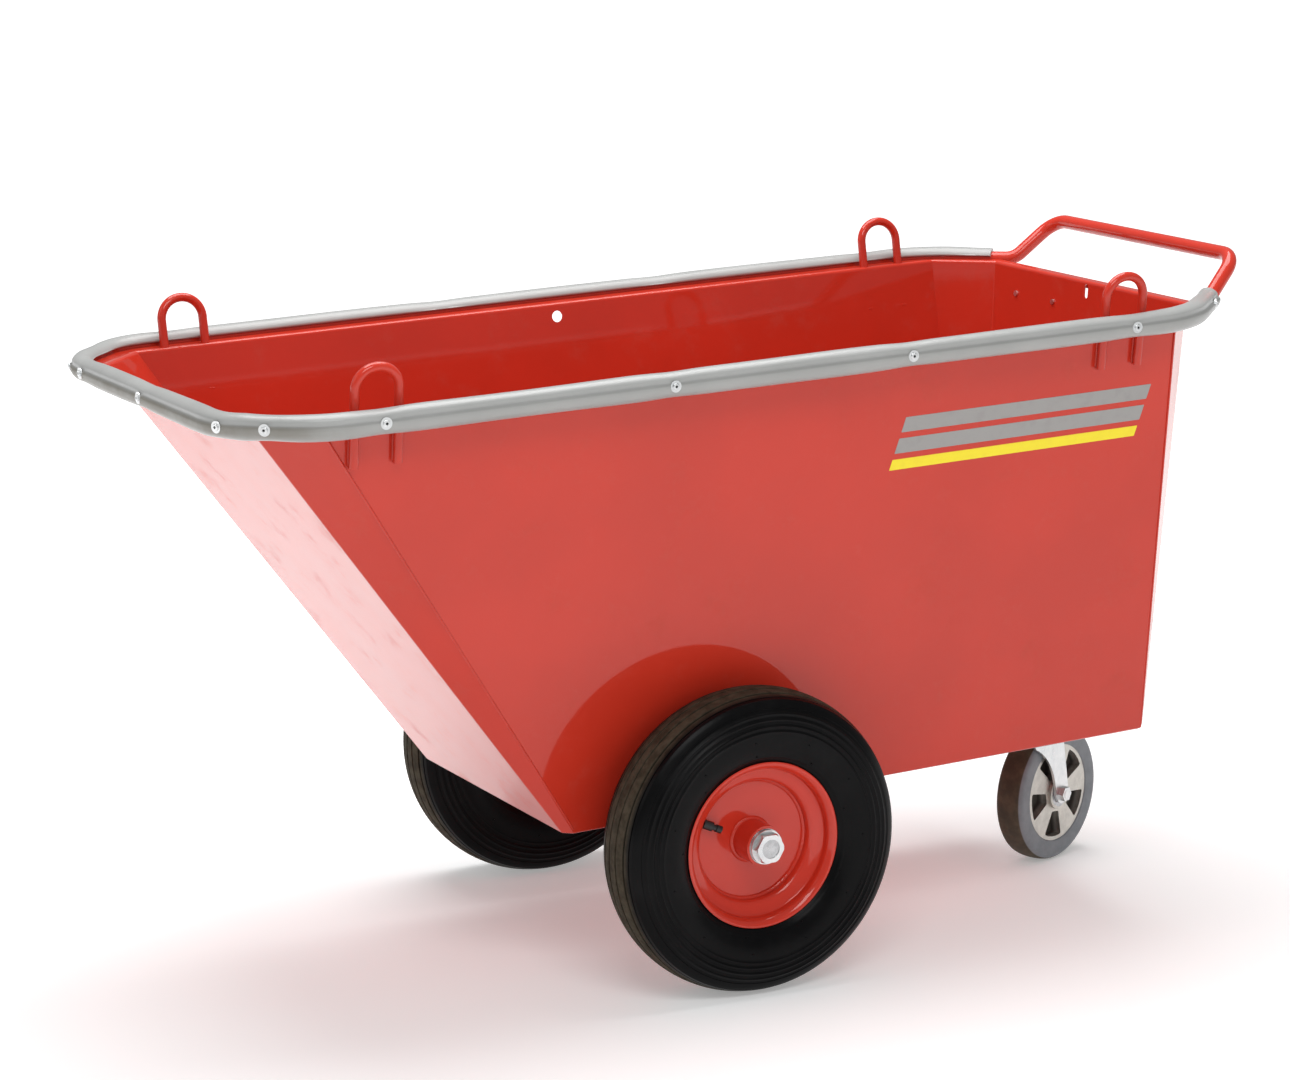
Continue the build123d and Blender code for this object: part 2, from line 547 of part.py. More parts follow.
FORK_IN = CASTER_HUB_HALF_L + 0.6
FORK_OUT = FORK_IN + FORK_SHEET
CROWN_R = 41.0
EYE_R = 14.5
LEG_HOLLOW_R = 91.0        # the front edge of each leg is hollow
crown = Pos(0, 0, CROWN_Z + CROWN_T / 2) * Cylinder(CROWN_R, CROWN_T)
leg_outline = make_hull([
    Pos(CASTER_TRAIL, CASTER_R) * Circle(EYE_R).edge(),
    Line((-34, CROWN_Z + CROWN_T), (40, CROWN_Z + CROWN_T)),
    Line((-34, CROWN_Z - 12), (40, CROWN_Z - 12)),
])
leg = extrude(Plane.XZ.offset(-FORK_OUT) * leg_outline, FORK_SHEET)
leg -= Pos(-60, 0, 95) * Rot(90, 0, 0) * Cylinder(LEG_HOLLOW_R, 100)
fork = crown + leg + flip(leg)
fork -= Pos(CASTER_TRAIL, 0, CASTER_R) * Rot(90, 0, 0) * Cylinder(6.2, 100)
fork -= Cylinder(8 + RUNNING, 600)
fork -= race
balls = [Rot(0, 0, 360 * k / 20) * Pos(ball_ring_r, 0, ball_z) * Sphere(BALL_D / 2) for k in range(20)]
save("caster_fork", fork, FORK)
save("caster_race_balls", balls, FORK)

CASTER_BEARING_R = 20.0
SLEEVE_R = 10.0
CASTER_WHEEL = FORK * Pos(CASTER_TRAIL, 0, CASTER_R) * Rot(90, 0, 0)
sleeve = Cylinder(SLEEVE_R, 2 * FORK_IN - 0.1) - Cylinder(6.1, 100)
bolt_low = Pos(0, 0, FORK_OUT) * hexagon(19, 7.5)
axle_bolt = Cylinder(6, 2 * FORK_OUT + 22) + bolt_low
axle_bolt = (axle_bolt & Pos(0, 0, -2) * Box(60, 60, 2 * FORK_OUT + 20))
nut = Pos(0, 0, -FORK_OUT - 9) * hexagon(19, 9) - Cylinder(6.1, 200)
save("caster_sleeve", sleeve, CASTER_WHEEL)
save("caster_axle_bolt", axle_bolt, CASTER_WHEEL)
save("caster_axle_nut", nut, CASTER_WHEEL)

tread_section = make_face([
    Line((CASTER_HUB_R, -CASTER_W / 2 + 1), (CASTER_HUB_R, CASTER_W / 2 - 1)),
    Line((CASTER_HUB_R, CASTER_W / 2 - 1), (88, CASTER_W / 2)),
    Spline((88, CASTER_W / 2), (96, CASTER_W / 2 - 4), (CASTER_R - 0.6, 9), (CASTER_R, 0)),
    Spline((CASTER_R, 0), (CASTER_R - 0.6, -9), (96, -CASTER_W / 2 + 4), (88, -CASTER_W / 2)),
    Line((88, -CASTER_W / 2), (CASTER_HUB_R, -CASTER_W / 2 + 1)),
])
tread = spun(tread_section)
SPOKES = 5
SPOKE_TURN = 10.0          # the first spoke, from the trailing direction
HUB_RING_R = 65.0
BOSS_R = 24.0
WEB_T = 6.0
POCKET_HALF_ANGLE = 19.0
caster_hub = Cylinder(CASTER_HUB_R - 0.05, CASTER_W - 4)
pocket_wide = HUB_RING_R * math.tan(math.radians(POCKET_HALF_ANGLE))
pocket_face = Polygon((BOSS_R + 4, -8), (HUB_RING_R + 1, -pocket_wide), (HUB_RING_R + 1, pocket_wide),
                      (BOSS_R + 4, 8), align=None) & Circle(HUB_RING_R)
pocket = extrude(fillet(pocket_face.vertices(), 3), CASTER_W)
for k in range(SPOKES):
    turn = Rot(0, 0, SPOKE_TURN + 360 * (k + 0.5) / SPOKES)
    caster_hub -= turn * Pos(0, 0, WEB_T / 2) * pocket
    caster_hub -= turn * Pos(0, 0, -WEB_T / 2 - CASTER_W) * pocket
caster_hub += Cylinder(BOSS_R, 2 * CASTER_HUB_HALF_L)
caster_hub -= Cylinder(SLEEVE_R + 3, 100)
CASTER_BEARING_W = 12.0
for face in (-1, 1):
    seat_z = face * (CASTER_HUB_HALF_L - CASTER_BEARING_W / 2)
    caster_hub -= Pos(0, 0, seat_z) * Cylinder(CASTER_BEARING_R + 0.02, CASTER_BEARING_W + 0.001)
caster_bearing = Cylinder(CASTER_BEARING_R, CASTER_BEARING_W) - Cylinder(SLEEVE_R + RUNNING, 40)
save("caster_tread", tread, CASTER_WHEEL)
save("caster_hub", caster_hub, CASTER_WHEEL)
for face, name in ((1, "left"), (-1, "right")):
    seat_z = face * (CASTER_HUB_HALF_L - CASTER_BEARING_W / 2)
    save(f"caster_bearing_{name}", caster_bearing, CASTER_WHEEL * Pos(0, 0, seat_z))

box = Compound(children=written).bounding_box()
print(f"{len(written)} nodes, x {box.min.X:.2f} to {box.max.X:.2f}, y {box.min.Y:.2f} to {box.max.Y:.2f},",
      f"z {box.min.Z:.2f} to {box.max.Z:.2f}")
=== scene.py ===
# %% [markdown]
# # A hand-pushed steel tub cart
#
# This notebook dresses a cart whose sizes are already fixed by its CAD model. The cart is a red tub folded
# from 2 mm sheet on two air-filled wheels and one swivel caster. A bent tube is both its rim and its
# handle, and a grey rubber hose is slit and pushed over that tube as a bumper. Each step says what a piece
# is on the real cart, how it could be made, and why this way was chosen.

# %% Load the fixed frame
import bmesh
import bpy
import math
from mathutils import Matrix, Vector, geometry


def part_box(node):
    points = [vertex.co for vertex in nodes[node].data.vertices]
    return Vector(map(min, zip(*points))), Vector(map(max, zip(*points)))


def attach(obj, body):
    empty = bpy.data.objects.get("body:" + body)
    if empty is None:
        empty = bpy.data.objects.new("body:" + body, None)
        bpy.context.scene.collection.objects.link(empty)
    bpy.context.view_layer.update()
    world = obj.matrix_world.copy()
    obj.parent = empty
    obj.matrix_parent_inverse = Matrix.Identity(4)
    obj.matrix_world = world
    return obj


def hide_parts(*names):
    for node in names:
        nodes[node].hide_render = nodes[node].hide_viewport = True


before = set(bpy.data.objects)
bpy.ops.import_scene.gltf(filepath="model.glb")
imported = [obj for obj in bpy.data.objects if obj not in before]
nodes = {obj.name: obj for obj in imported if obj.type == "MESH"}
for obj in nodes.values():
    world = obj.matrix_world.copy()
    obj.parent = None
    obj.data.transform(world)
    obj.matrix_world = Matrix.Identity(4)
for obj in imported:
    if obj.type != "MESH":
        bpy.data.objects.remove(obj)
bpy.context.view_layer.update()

# %% [markdown]
# ## The tub frame
#
# The tub leans: its back stands a little higher than its nose. Drawing every tub part with that lean worked
# into its numbers would be hard to read. Instead there is one small function that takes a point as the
# sheet-metal worker would measure it, in millimetres from the middle of the axle along the tub, and gives
# the point in the shared frame in metres. The axle's own CAD box says where the axle is.

# %% From the tub's millimetres to the shared frame
MM = 0.001
TUB_LEAN = math.radians(2.37)
axle_low, axle_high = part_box("axle_tube")
AXLE = (axle_low + axle_high) / 2


def tub(x, y, z):
    c, s = math.cos(TUB_LEAN), math.sin(TUB_LEAN)
    return AXLE + Vector((c * x - s * z, y, s * x + c * z)) * MM


print("axle at", [round(v, 4) for v in AXLE], "lean", round(math.degrees(TUB_LEAN), 2))

# %% [markdown]
# ## Shader maths
#
# Every finish here is worked out by nodes. Wiring nodes by hand hides the sum that they do, so a small
# class wraps a socket and overloads the arithmetic operators: `1 - mask` then adds a Math node by itself.
# Anything that isn't plain arithmetic, such as a noise or a blend of colours, comes from the one method
# `node`, which takes the node's type, its settings and the values of its sockets.

# %% A socket that does sums
class Signal:
    def __init__(self, finish, socket):
        self.finish, self.socket = finish, socket

    def sum(self, operation, a, b):
        return self.finish.node("Math", {"operation": operation}, {0: a, 1: b})

    def __add__(self, other):
        return self.sum("ADD", self, other)

    def __radd__(self, other):
        return self.sum("ADD", other, self)

    def __sub__(self, other):
        return self.sum("SUBTRACT", self, other)

    def __rsub__(self, other):
        return self.sum("SUBTRACT", other, self)

    def __mul__(self, other):
        return self.sum("MULTIPLY", self, other)

    def __rmul__(self, other):
        return self.sum("MULTIPLY", other, self)


print("sockets can be added, subtracted and multiplied")


# %% A finish: a material and the one method that adds any node to it
class Finish:
    def __init__(self, name, **fixed):
        self.material = bpy.data.materials.new(name)
        self.material.use_nodes = True
        self.tree = self.material.node_tree
        self.shader = self.tree.nodes["Principled BSDF"]
        for socket, value in fixed.items():
            self.shader.inputs[socket.replace("_", " ")].default_value = value

    def node(self, kind, settings, sockets, output=0):
        node = self.tree.nodes.new("ShaderNode" + kind)
        for key, value in settings.items():
            setattr(node, key, value)
        for key, value in sockets.items():
            if isinstance(value, Signal):
                self.tree.links.new(value.socket, node.inputs[key])
            else:
                node.inputs[key].default_value = value
        return Signal(self, node.outputs[output])

    def feed(self, socket, signal):
        self.tree.links.new(signal.socket, self.shader.inputs[socket])


print("a finish is one Principled material")

# %% Small words that most finishes use
def place(finish):
    """The point on the piece itself, in metres, which turns with the piece."""
    return finish.node("TexCoord", {}, {}, "Object")


def noise(finish, scale, detail=3, rough=0.5, stretch=(1, 1, 1)):
    where = finish.node("Mapping", {}, {"Vector": place(finish), "Scale": stretch})
    return finish.node("TexNoise", {},
                       {"Vector": where, "Scale": scale, "Detail": detail, "Roughness": rough})


def away_from(finish, origin):
    """The way from an origin to the point on the piece."""
    return finish.node("VectorMath", {"operation": "SUBTRACT"}, {0: place(finish), 1: origin})


def dot(finish, way, direction):
    """How far a way goes in one direction."""
    return finish.node("VectorMath", {"operation": "DOT_PRODUCT"}, {0: way, 1: direction}, "Value")


def how_far(finish, way):
    return finish.node("VectorMath", {"operation": "LENGTH"}, {0: way}, "Value")


def step(finish, signal, low, high):
    """0 below low, 1 above high, smooth between."""
    return finish.node("MapRange", {"interpolation_type": "SMOOTHSTEP"},
                       {"Value": signal, "From Min": low, "From Max": high})


def mix(finish, mask, first, second):
    """The first colour where the mask is 0 and the second where it is 1."""
    first = (*first, 1) if isinstance(first, tuple) else first
    second = (*second, 1) if isinstance(second, tuple) else second
    return finish.node("Mix", {"data_type": "RGBA"}, {0: mask, 6: first, 7: second}, 2)


def bump(finish, height, depth, normal=None):
    """Relief of the given depth in metres."""
    sockets = {"Height": height, "Distance": depth, "Strength": 1.0}
    if normal:
        sockets["Normal"] = normal
    return finish.node("Bump", {}, sockets)


print("shader words:", [word.__name__ for word in (place, noise, away_from, dot, how_far, step, mix, bump)])

# %% [markdown]
# ## Red paint
#
# The tub, its rim tube, the loops and the wheel discs are powder coated: a thick, glossy red film that
# flowed while it was hot. Such a film is never quite flat. It has an orange-peel ripple a few millimetres
# across that breaks up reflections, and long faint waves from the rolled sheet beneath. A clear coat on top
# of a rougher red base gives both the deep colour and the sharp reflection. Dust dulls the coat in cloudy
# patches.

# %% Make the red paint
def red_paint(name, red=(0.585, 0.033, 0.015), ripple=220.0):
    paint = Finish(name, Coat_Roughness=0.045, Coat_IOR=1.5, Specular_IOR_Level=0.08)
    cloud = noise(paint, 5.0, 4)
    fleck = noise(paint, 900.0, 2)
    dust_and_shade = step(paint, noise(paint, 18.0, 6, 0.65), 0.52, 0.78)
    deep = tuple(v * 0.92 for v in red)
    base = mix(paint, step(paint, cloud, 0.3, 0.7), deep, red)
    base = mix(paint, dust_and_shade * 0.10, base, (0.42, 0.20, 0.16))
    paint.feed("Base Color", base)
    paint.feed("Roughness", 0.30 + cloud * 0.14 + dust_and_shade * 0.16)
    paint.feed("Coat Weight", 0.82 - dust_and_shade * 0.30)
    peel = noise(paint, ripple, 2, 0.4)
    waves = noise(paint, 7.0, 1, 0.3)
    relief = bump(paint, waves, 0.0012)
    relief = bump(paint, peel, 0.00006, relief)
    paint.feed("Normal", bump(paint, fleck, 0.000008, relief))
    return paint


RED = red_paint("red_powder_coat")
print(RED.material.name, "uses", len(RED.tree.nodes), "nodes")

# %% [markdown]
# ## Grey bumper rubber
#
# The bumper is an extruded hose of light grey rubber. Extruding leaves fine streaks along its length, the
# surface blooms to a chalky white in patches, and handling leaves brownish smudges. Its softness shows as a
# broad, weak highlight, so there is no clear coat, only a middling roughness that varies. Soil collects in
# the shallow valley along the screws, most of all round the nose, which is pushed into heaps and walls, and a
# thin dark line of painted shade runs along the groove at the screws. The height under the rim and the
# distance along the tub tell the nodes where that is.

# %% Make the bumper rubber
UP = (tub(0, 0, 1) - tub(0, 0, 0)).normalized()
ALONG = (tub(1, 0, 0) - tub(0, 0, 0)).normalized()
RIM_Z = 612.3              # the rim tube's centre line, above the axle
RIM_HEIGHT = RIM_Z * MM


def grey_rubber():
    rubber = Finish("grey_bumper_rubber", Specular_IOR_Level=0.5)
    bloom = step(rubber, noise(rubber, 12.0, 3, 0.5), 0.25, 0.85)
    grain = noise(rubber, 1500.0, 2)
    base = mix(rubber, bloom, (0.345, 0.35, 0.342), (0.385, 0.39, 0.382))
    away = away_from(rubber, tub(0, 0, 0))
    low = RIM_HEIGHT - dot(rubber, away, UP)
    # a thin dark line along the groove at the screws: painted shade in the crease
    crease_shade = step(rubber, low, -0.0052, -0.0030) * (1 - step(rubber, low, -0.0022, 0.0002))
    valley = step(rubber, low, -0.006, -0.001) * (1 - step(rubber, low, 0.005, 0.016))
    nose = 1 - step(rubber, dot(rubber, away, ALONG), -0.66, -0.50)
    rubbed = step(rubber, noise(rubber, 9.0, 5, 0.6), 0.20, 0.60)
    soil = valley * (0.10 + nose * rubbed * 0.62)
    base = mix(rubber, crease_shade * 0.55, base, (0.16, 0.165, 0.16))
    base = mix(rubber, soil, base, (0.150, 0.132, 0.098))
    rubber.feed("Base Color", base)
    rubber.feed("Roughness", 0.28 + bloom * 0.10 + soil * 0.20)
    relief = bump(rubber, noise(rubber, 40.0, 3), 0.0005)
    rubber.feed("Normal", bump(rubber, grain, 0.00003, relief))
    return rubber


GREY_RUBBER = grey_rubber()
print("bumper rubber soiled", RIM_HEIGHT, "m above the axle")

# %% [markdown]
# ## Tyre rubber, clean and trodden
#
# The sidewalls are black rubber fresh from the mould, satin with a slight sheen. The tread has picked up
# yard dust, which turns the worn ribs a dull brown while the grooves stay dark. The two are one moulding,
# so one finish does both: the distance from the wheel's axle says how far out a point is, and dust settles
# only on the outermost two millimetres.

# %% Make the tyre rubber
def tyre_rubber(tread_radius):
    rubber = Finish("black_tyre_rubber", Specular_IOR_Level=0.10)
    across = rubber.node("VectorMath", {"operation": "MULTIPLY"}, {0: away_from(rubber, AXLE), 1: (1, 0, 1)})
    worn = step(rubber, how_far(rubber, across), tread_radius - 0.0065, tread_radius - 0.002)
    patch = noise(rubber, 70.0, 5, 0.6)
    film = step(rubber, noise(rubber, 14.0, 4, 0.6), 0.45, 0.8)
    black = mix(rubber, film, (0.0022, 0.0022, 0.0025), (0.0060, 0.0060, 0.0063))
    dust_and_shade = mix(rubber, step(rubber, patch, 0.3, 0.7), (0.036, 0.029, 0.019), (0.074, 0.061, 0.042))
    rubber.feed("Base Color", mix(rubber, worn, black, dust_and_shade))
    rubber.feed("Roughness", 0.30 + worn * 0.45 + film * 0.14)
    relief = bump(rubber, patch, 0.00025)
    rubber.feed("Normal", bump(rubber, noise(rubber, 1300.0, 2), 0.00003, relief))
    return rubber


TYRE_R = (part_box("tyre_left")[1].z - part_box("tyre_left")[0].z) / 2
TYRE_RUBBER = tyre_rubber(TYRE_R)
print("tyre radius", round(TYRE_R, 4))

# %% [markdown]
# ## Zinc, cast aluminium and steel
#
# Screws, nuts, washers and the caster fork are bright zinc plate. Plating over rolled sheet is mostly
# mirror with a faint cloudiness, so one noise moves both its colour and its roughness. The caster's wheel
# centre is pressure-cast aluminium: pale, slightly warm, with a sandy skin. Bearing steel is the cleanest
# of them.

# %% Make the metals
def metal(name, dark, light, rough, cloud_scale, grain_scale, grain_depth, brushed=(1, 1, 1)):
    finish = Finish(name, Metallic=1.0)
    cloud = step(finish, noise(finish, cloud_scale, 4, 0.6), 0.3, 0.7)
    finish.feed("Base Color", mix(finish, cloud, dark, light))
    finish.feed("Roughness", rough + cloud * 0.12)
    finish.feed("Normal", bump(finish, noise(finish, grain_scale, 3, 0.6, brushed), grain_depth))
    return finish


ZINC = metal("bright_zinc_plate", (0.62, 0.64, 0.65), (0.78, 0.79, 0.79), 0.26, 45.0, 900.0, 0.000006)
STEEL = metal("ground_bearing_steel", (0.38, 0.39, 0.40), (0.52, 0.53, 0.54), 0.18, 120.0, 700.0, 0.00001)
PLATE = metal("brushed_aluminium_plate", (0.60, 0.60, 0.60), (0.75, 0.75, 0.75), 0.30, 80.0, 600.0, 0.00002,
              (1, 0.03, 1))
print("metals:", [finish.material.name for finish in (ZINC, STEEL, PLATE)])


# %% Make the small rubbers and plastics
def plain_rubber(name, dark, light, rough, grain_scale=900.0):
    finish = Finish(name, Specular_IOR_Level=0.5)
    cloud = step(finish, noise(finish, 35.0, 4, 0.6), 0.3, 0.75)
    finish.feed("Base Color", mix(finish, cloud, dark, light))
    finish.feed("Roughness", rough + cloud * 0.12)
    finish.feed("Normal", bump(finish, noise(finish, grain_scale, 2), 0.00004))
    return finish


VALVE_RUBBER = plain_rubber("black_valve_rubber", (0.008, 0.008, 0.008), (0.02, 0.02, 0.02), 0.42)
TUBE_RUBBER = plain_rubber("inner_tube_rubber", (0.012, 0.012, 0.012), (0.03, 0.03, 0.03), 0.55)
print("finishes so far:", len(bpy.data.materials))

# %% [markdown]
# ## The caster's two-tone tyre
#
# The caster runs on an elastic rubber tyre: blue-grey on its sides, and brown where it has rolled over the
# floor. How far a point stands from the wheel's middle plane decides. The same measure paints the pockets
# of the cast centre between the spokes near black, as painted shade.

# %% Make the caster's finishes
def from_middle(finish, centre, spin_axis):
    """How far the point stands from the wheel's middle plane, in metres."""
    signed = dot(finish, away_from(finish, centre), spin_axis)
    return finish.node("Math", {"operation": "ABSOLUTE"}, {0: signed})


def cast_centre(centre, spin_axis):
    finish = Finish("cast_aluminium")
    cloud = step(finish, noise(finish, 60.0, 4, 0.6), 0.3, 0.7)
    # painted shade: the pockets between the spokes, near the wheel's middle plane, are painted near black and
    # lose their metal
    dust_and_shade = 1 - step(finish, from_middle(finish, centre, spin_axis), 0.006, 0.0175)
    metal_tone = mix(finish, cloud, (0.52, 0.50, 0.46), (0.68, 0.66, 0.61))
    finish.feed("Base Color", mix(finish, dust_and_shade * 0.94, metal_tone, (0.035, 0.029, 0.022)))
    finish.feed("Metallic", 1 - dust_and_shade)
    finish.feed("Roughness", 0.40 + cloud * 0.12 + dust_and_shade * 0.3)
    finish.feed("Normal", bump(finish, noise(finish, 1100.0, 3, 0.6), 0.00006))
    return finish


def caster_rubber(centre, spin_axis, half_width):
    finish = Finish("grey_caster_rubber", Specular_IOR_Level=0.5)
    side = from_middle(finish, centre, spin_axis)
    rolled = 1 - step(finish, side, half_width - 0.0045, half_width - 0.0030)
    patch = noise(finish, 45.0, 5, 0.6)
    grey = mix(finish, step(finish, patch, 0.3, 0.7), (0.165, 0.178, 0.195), (0.215, 0.23, 0.248))
    brown = mix(finish, step(finish, patch, 0.35, 0.7), (0.050, 0.038, 0.022), (0.090, 0.068, 0.040))
    finish.feed("Base Color", mix(finish, rolled, grey, brown))
    finish.feed("Roughness", 0.44 + rolled * 0.25 + patch * 0.1)
    finish.feed("Normal", bump(finish, noise(finish, 800.0, 3), 0.00005))
    return finish


CASTER_LOW, CASTER_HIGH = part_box("caster_tread")
CASTER_CENTRE = (CASTER_LOW + CASTER_HIGH) / 2
CASTER_TURN = math.radians(22)
CASTER_AXIS = Vector((math.sin(CASTER_TURN), -math.cos(CASTER_TURN), 0))
CASTER_HALF_W = 0.022
CASTER_RUBBER = caster_rubber(CASTER_CENTRE, CASTER_AXIS, CASTER_HALF_W)
CAST = cast_centre(CASTER_CENTRE, CASTER_AXIS)
print("caster wheel centre", [round(v, 4) for v in CASTER_CENTRE])


# %% [markdown]
# ## Ways of making a piece
#
# A few helpers cover most of the cart. `piece` turns points and faces into an object that rides on a CAD
# body. `spin` turns a section about an axle, which is how tyres and rims are really formed. `swept` carries
# a section along a bent line, which is how hose, rod and weld beads are made. `bent` gives such a line:
# straight runs joined by true arcs, as a tube bender leaves them.

# %% Turn points and faces into a piece
def piece(name, points, faces, finish, body, slot, sharp=35):
    mesh = bpy.data.meshes.new(name)
    mesh.from_pydata([tuple(p) for p in points], [], faces)
    mesh.validate()
    shape = bmesh.new()
    shape.from_mesh(mesh)
    bmesh.ops.recalc_face_normals(shape, faces=shape.faces)
    shape.to_mesh(mesh)
    shape.free()
    return dress(bpy.data.objects.new(name, mesh), finish, body, sharp)


def dress(thing, finish, body, sharp=35):
    if thing.name not in bpy.context.scene.collection.objects:
        bpy.context.scene.collection.objects.link(thing)
    thing.data.materials.clear()
    thing.data.materials.append(finish.material)
    thing.data.shade_smooth()
    thing.data.set_sharp_from_angle(angle=math.radians(sharp))
    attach(thing, body)
    return thing


# %% Turn a section about an axle
def spin(name, section, centre, axis, finish, body, slot, turns=160, sharp=35, closed=True, wobble=None):
    """The section is (radius, place along the axis) in millimetres; wobble may move a point as it turns."""
    axis = Vector(axis).normalized()
    across = axis.orthogonal().normalized()
    other = axis.cross(across)
    points, faces = [], []
    for k in range(turns):
        angle = 2 * math.pi * k / turns
        ray = across * math.cos(angle) + other * math.sin(angle)
        for radius, along in section:
            if wobble:
                radius, along = wobble(angle, radius, along)
            points.append(centre + (ray * radius + axis * along) * MM)
    count = len(section)
    for k in range(turns):
        a, b = k * count, (k + 1) % turns * count
        for i in range(count if closed else count - 1):
            j = (i + 1) % count
            faces.append((a + i, a + j, b + j, b + i))
    return piece(name, points, faces, finish, body, slot, sharp)


AXLE_WAY = (0, 1, 0)
print("the front wheels turn about", AXLE_WAY)

# %% A bent line, and a section swept along a line
def bent(corners, radii, step_mm):
    """Straight runs through the corners, joined by arcs, with points about step_mm apart."""
    line = [Vector(corners[0])]
    for before, corner, after, radius in zip(corners, corners[1:], corners[2:], radii):
        into = (Vector(corner) - Vector(before)).normalized()
        out = (Vector(after) - Vector(corner)).normalized()
        turn = into.angle(out)
        reach = radius * math.tan(turn / 2)
        start, end = Vector(corner) - into * reach, Vector(corner) + out * reach
        centre = start + (out - into * into.dot(out)).normalized() * radius
        run(line, start, step_mm)
        arcs = max(4, math.ceil(radius * turn / step_mm))
        first = start - centre
        for k in range(1, arcs + 1):
            part = turn * k / arcs
            line.append(centre + first * math.cos(part) + into * radius * math.sin(part))
        line[-1] = end
    run(line, Vector(corners[-1]), step_mm)
    return line


def run(line, end, step_mm):
    start = line[-1].copy()
    count = max(1, math.ceil((end - start).length / step_mm))
    line.extend(start.lerp(end, k / count) for k in range(1, count + 1))


def swept(line, ring, first_across=None):
    """Points and faces; ring(place in the list, point) gives the section's (across, up) points in metres."""
    points, faces, across = [], [], first_across
    for k, point in enumerate(line):
        ahead = (line[min(k + 1, len(line) - 1)] - line[max(k - 1, 0)]).normalized()
        across = ahead.orthogonal() if across is None else across
        across = (across - ahead * across.dot(ahead)).normalized()
        up = ahead.cross(across)
        section = ring(k, point)
        points.extend(point + across * a + up * u for a, u in section)
        count = len(section)
        if k:
            for i in range(count):
                j = (i + 1) % count
                faces.append(((k - 1) * count + i, (k - 1) * count + j, k * count + j, k * count + i))
    faces.append(tuple(range(count))[::-1])
    faces.append(tuple(range(len(points) - count, len(points))))
    return points, faces


def joined(shapes):
    """Several lots of points and faces as one."""
    points, faces = [], []
    for more_points, more_faces in shapes:
        faces += [tuple(len(points) + v for v in face) for face in more_faces]
        points += more_points
    return points, faces


def prism(count):
    """The faces between two like rings of count points, with both ends closed."""
    faces = [(k, (k + 1) % count, (k + 1) % count + count, k + count) for k in range(count)]
    return faces + [tuple(range(count)), tuple(range(count, 2 * count))]


def circle(radius, count):
    return [(radius * math.cos(2 * math.pi * k / count), radius * math.sin(2 * math.pi * k / count))
            for k in range(count)]


print("helpers: piece, dress, spin, bent, swept, joined, prism, circle")

# %% [markdown]
# ## The folded tub
#
# The tub is one skin to the eye: flat walls that lean outwards, chamfered corners, a floor, and a flat
# ledge turned out round the top to meet the rim tube. The sheet is never creased sharp. The press brake
# leaves a small radius at each bend, the welded corners are nearly sharp, and the foot of the rear wall is
# rolled to 18 mm.
#
# A box with a bevel can't hold such different radii where they meet. The body is convex, though, so it can
# be cut like a gem: a big block is trimmed by the plane of each wall, then by a fan of planes tangent to
# each bend. Corners where several bends meet come out right by themselves.

# %% The tub's corners, from the middle of the axle
SHEET = 2.0
FLOOR_Z = 18.3
MIDDLE_X = 50.0            # somewhere well inside the tub
SIDES = {"right": 1, "left": -1}
FOOT = {"side_front": (-207.4, 216.4), "nose": (-219.0, 204.6),
        "side_rear": (676.4, 216.4), "tail": (684.4, 208.2)}
RIM = {"side_front": (-570.7, 303.5), "nose": (-638.4, 234.6),
       "side_rear": (672.0, 303.5), "tail": (739.4, 234.2)}


def foot_point(name, side=1):
    return Vector((FOOT[name][0], FOOT[name][1] * side, FLOOR_Z))


def rim_point(name, side=1):
    return Vector((RIM[name][0], RIM[name][1] * side, RIM_Z))


print("tub is", round(RIM_Z - FLOOR_Z), "mm deep")

# %% Each wall's plane: its outward direction and its distance from the axle
def plane_through(a, b, c):
    out = (b - a).cross(c - a).normalized()
    if out.dot(Vector((MIDDLE_X, 0, RIM_Z / 2)) - a) > 0:
        out = -out
    return out, out.dot(a)


walls = {"floor": (Vector((0, 0, -1)), -FLOOR_Z)}
walls["nose"] = plane_through(foot_point("nose"), foot_point("nose", -1), rim_point("nose"))
walls["tail"] = plane_through(foot_point("tail"), foot_point("tail", -1), rim_point("tail"))
for label, side in SIDES.items():
    walls["side_" + label] = plane_through(foot_point("side_front", side), foot_point("side_rear", side),
                                           rim_point("side_rear", side))
    walls["front_corner_" + label] = plane_through(foot_point("side_front", side), foot_point("nose", side),
                                                   rim_point("nose", side))
    walls["rear_corner_" + label] = plane_through(foot_point("side_rear", side), foot_point("tail", side),
                                                  rim_point("tail", side))

BENDS = [("floor", "nose", 4.0), ("floor", "tail", 18.0)]
for label in SIDES:
    BENDS += [("nose", "front_corner_" + label, 7.0), ("side_" + label, "front_corner_" + label, 2.2),
              ("tail", "rear_corner_" + label, 7.0), ("side_" + label, "rear_corner_" + label, 2.2),
              ("floor", "side_" + label, 3.5), ("floor", "front_corner_" + label, 3.5),
              ("floor", "rear_corner_" + label, 3.5)]
print(len(walls), "walls,", len(BENDS), "bends")


# %% Cut a block down to one face of the sheet
def trim(block, out, distance):
    everything = block.verts[:] + block.edges[:] + block.faces[:]
    cut = bmesh.ops.bisect_plane(block, geom=everything, plane_co=out * distance, plane_no=out,
                                 clear_outer=True, dist=0.0005)
    edges = [e for e in cut["geom_cut"] if isinstance(e, bmesh.types.BMEdge)]
    if len(edges) > 2:
        bmesh.ops.contextual_create(block, geom=edges)


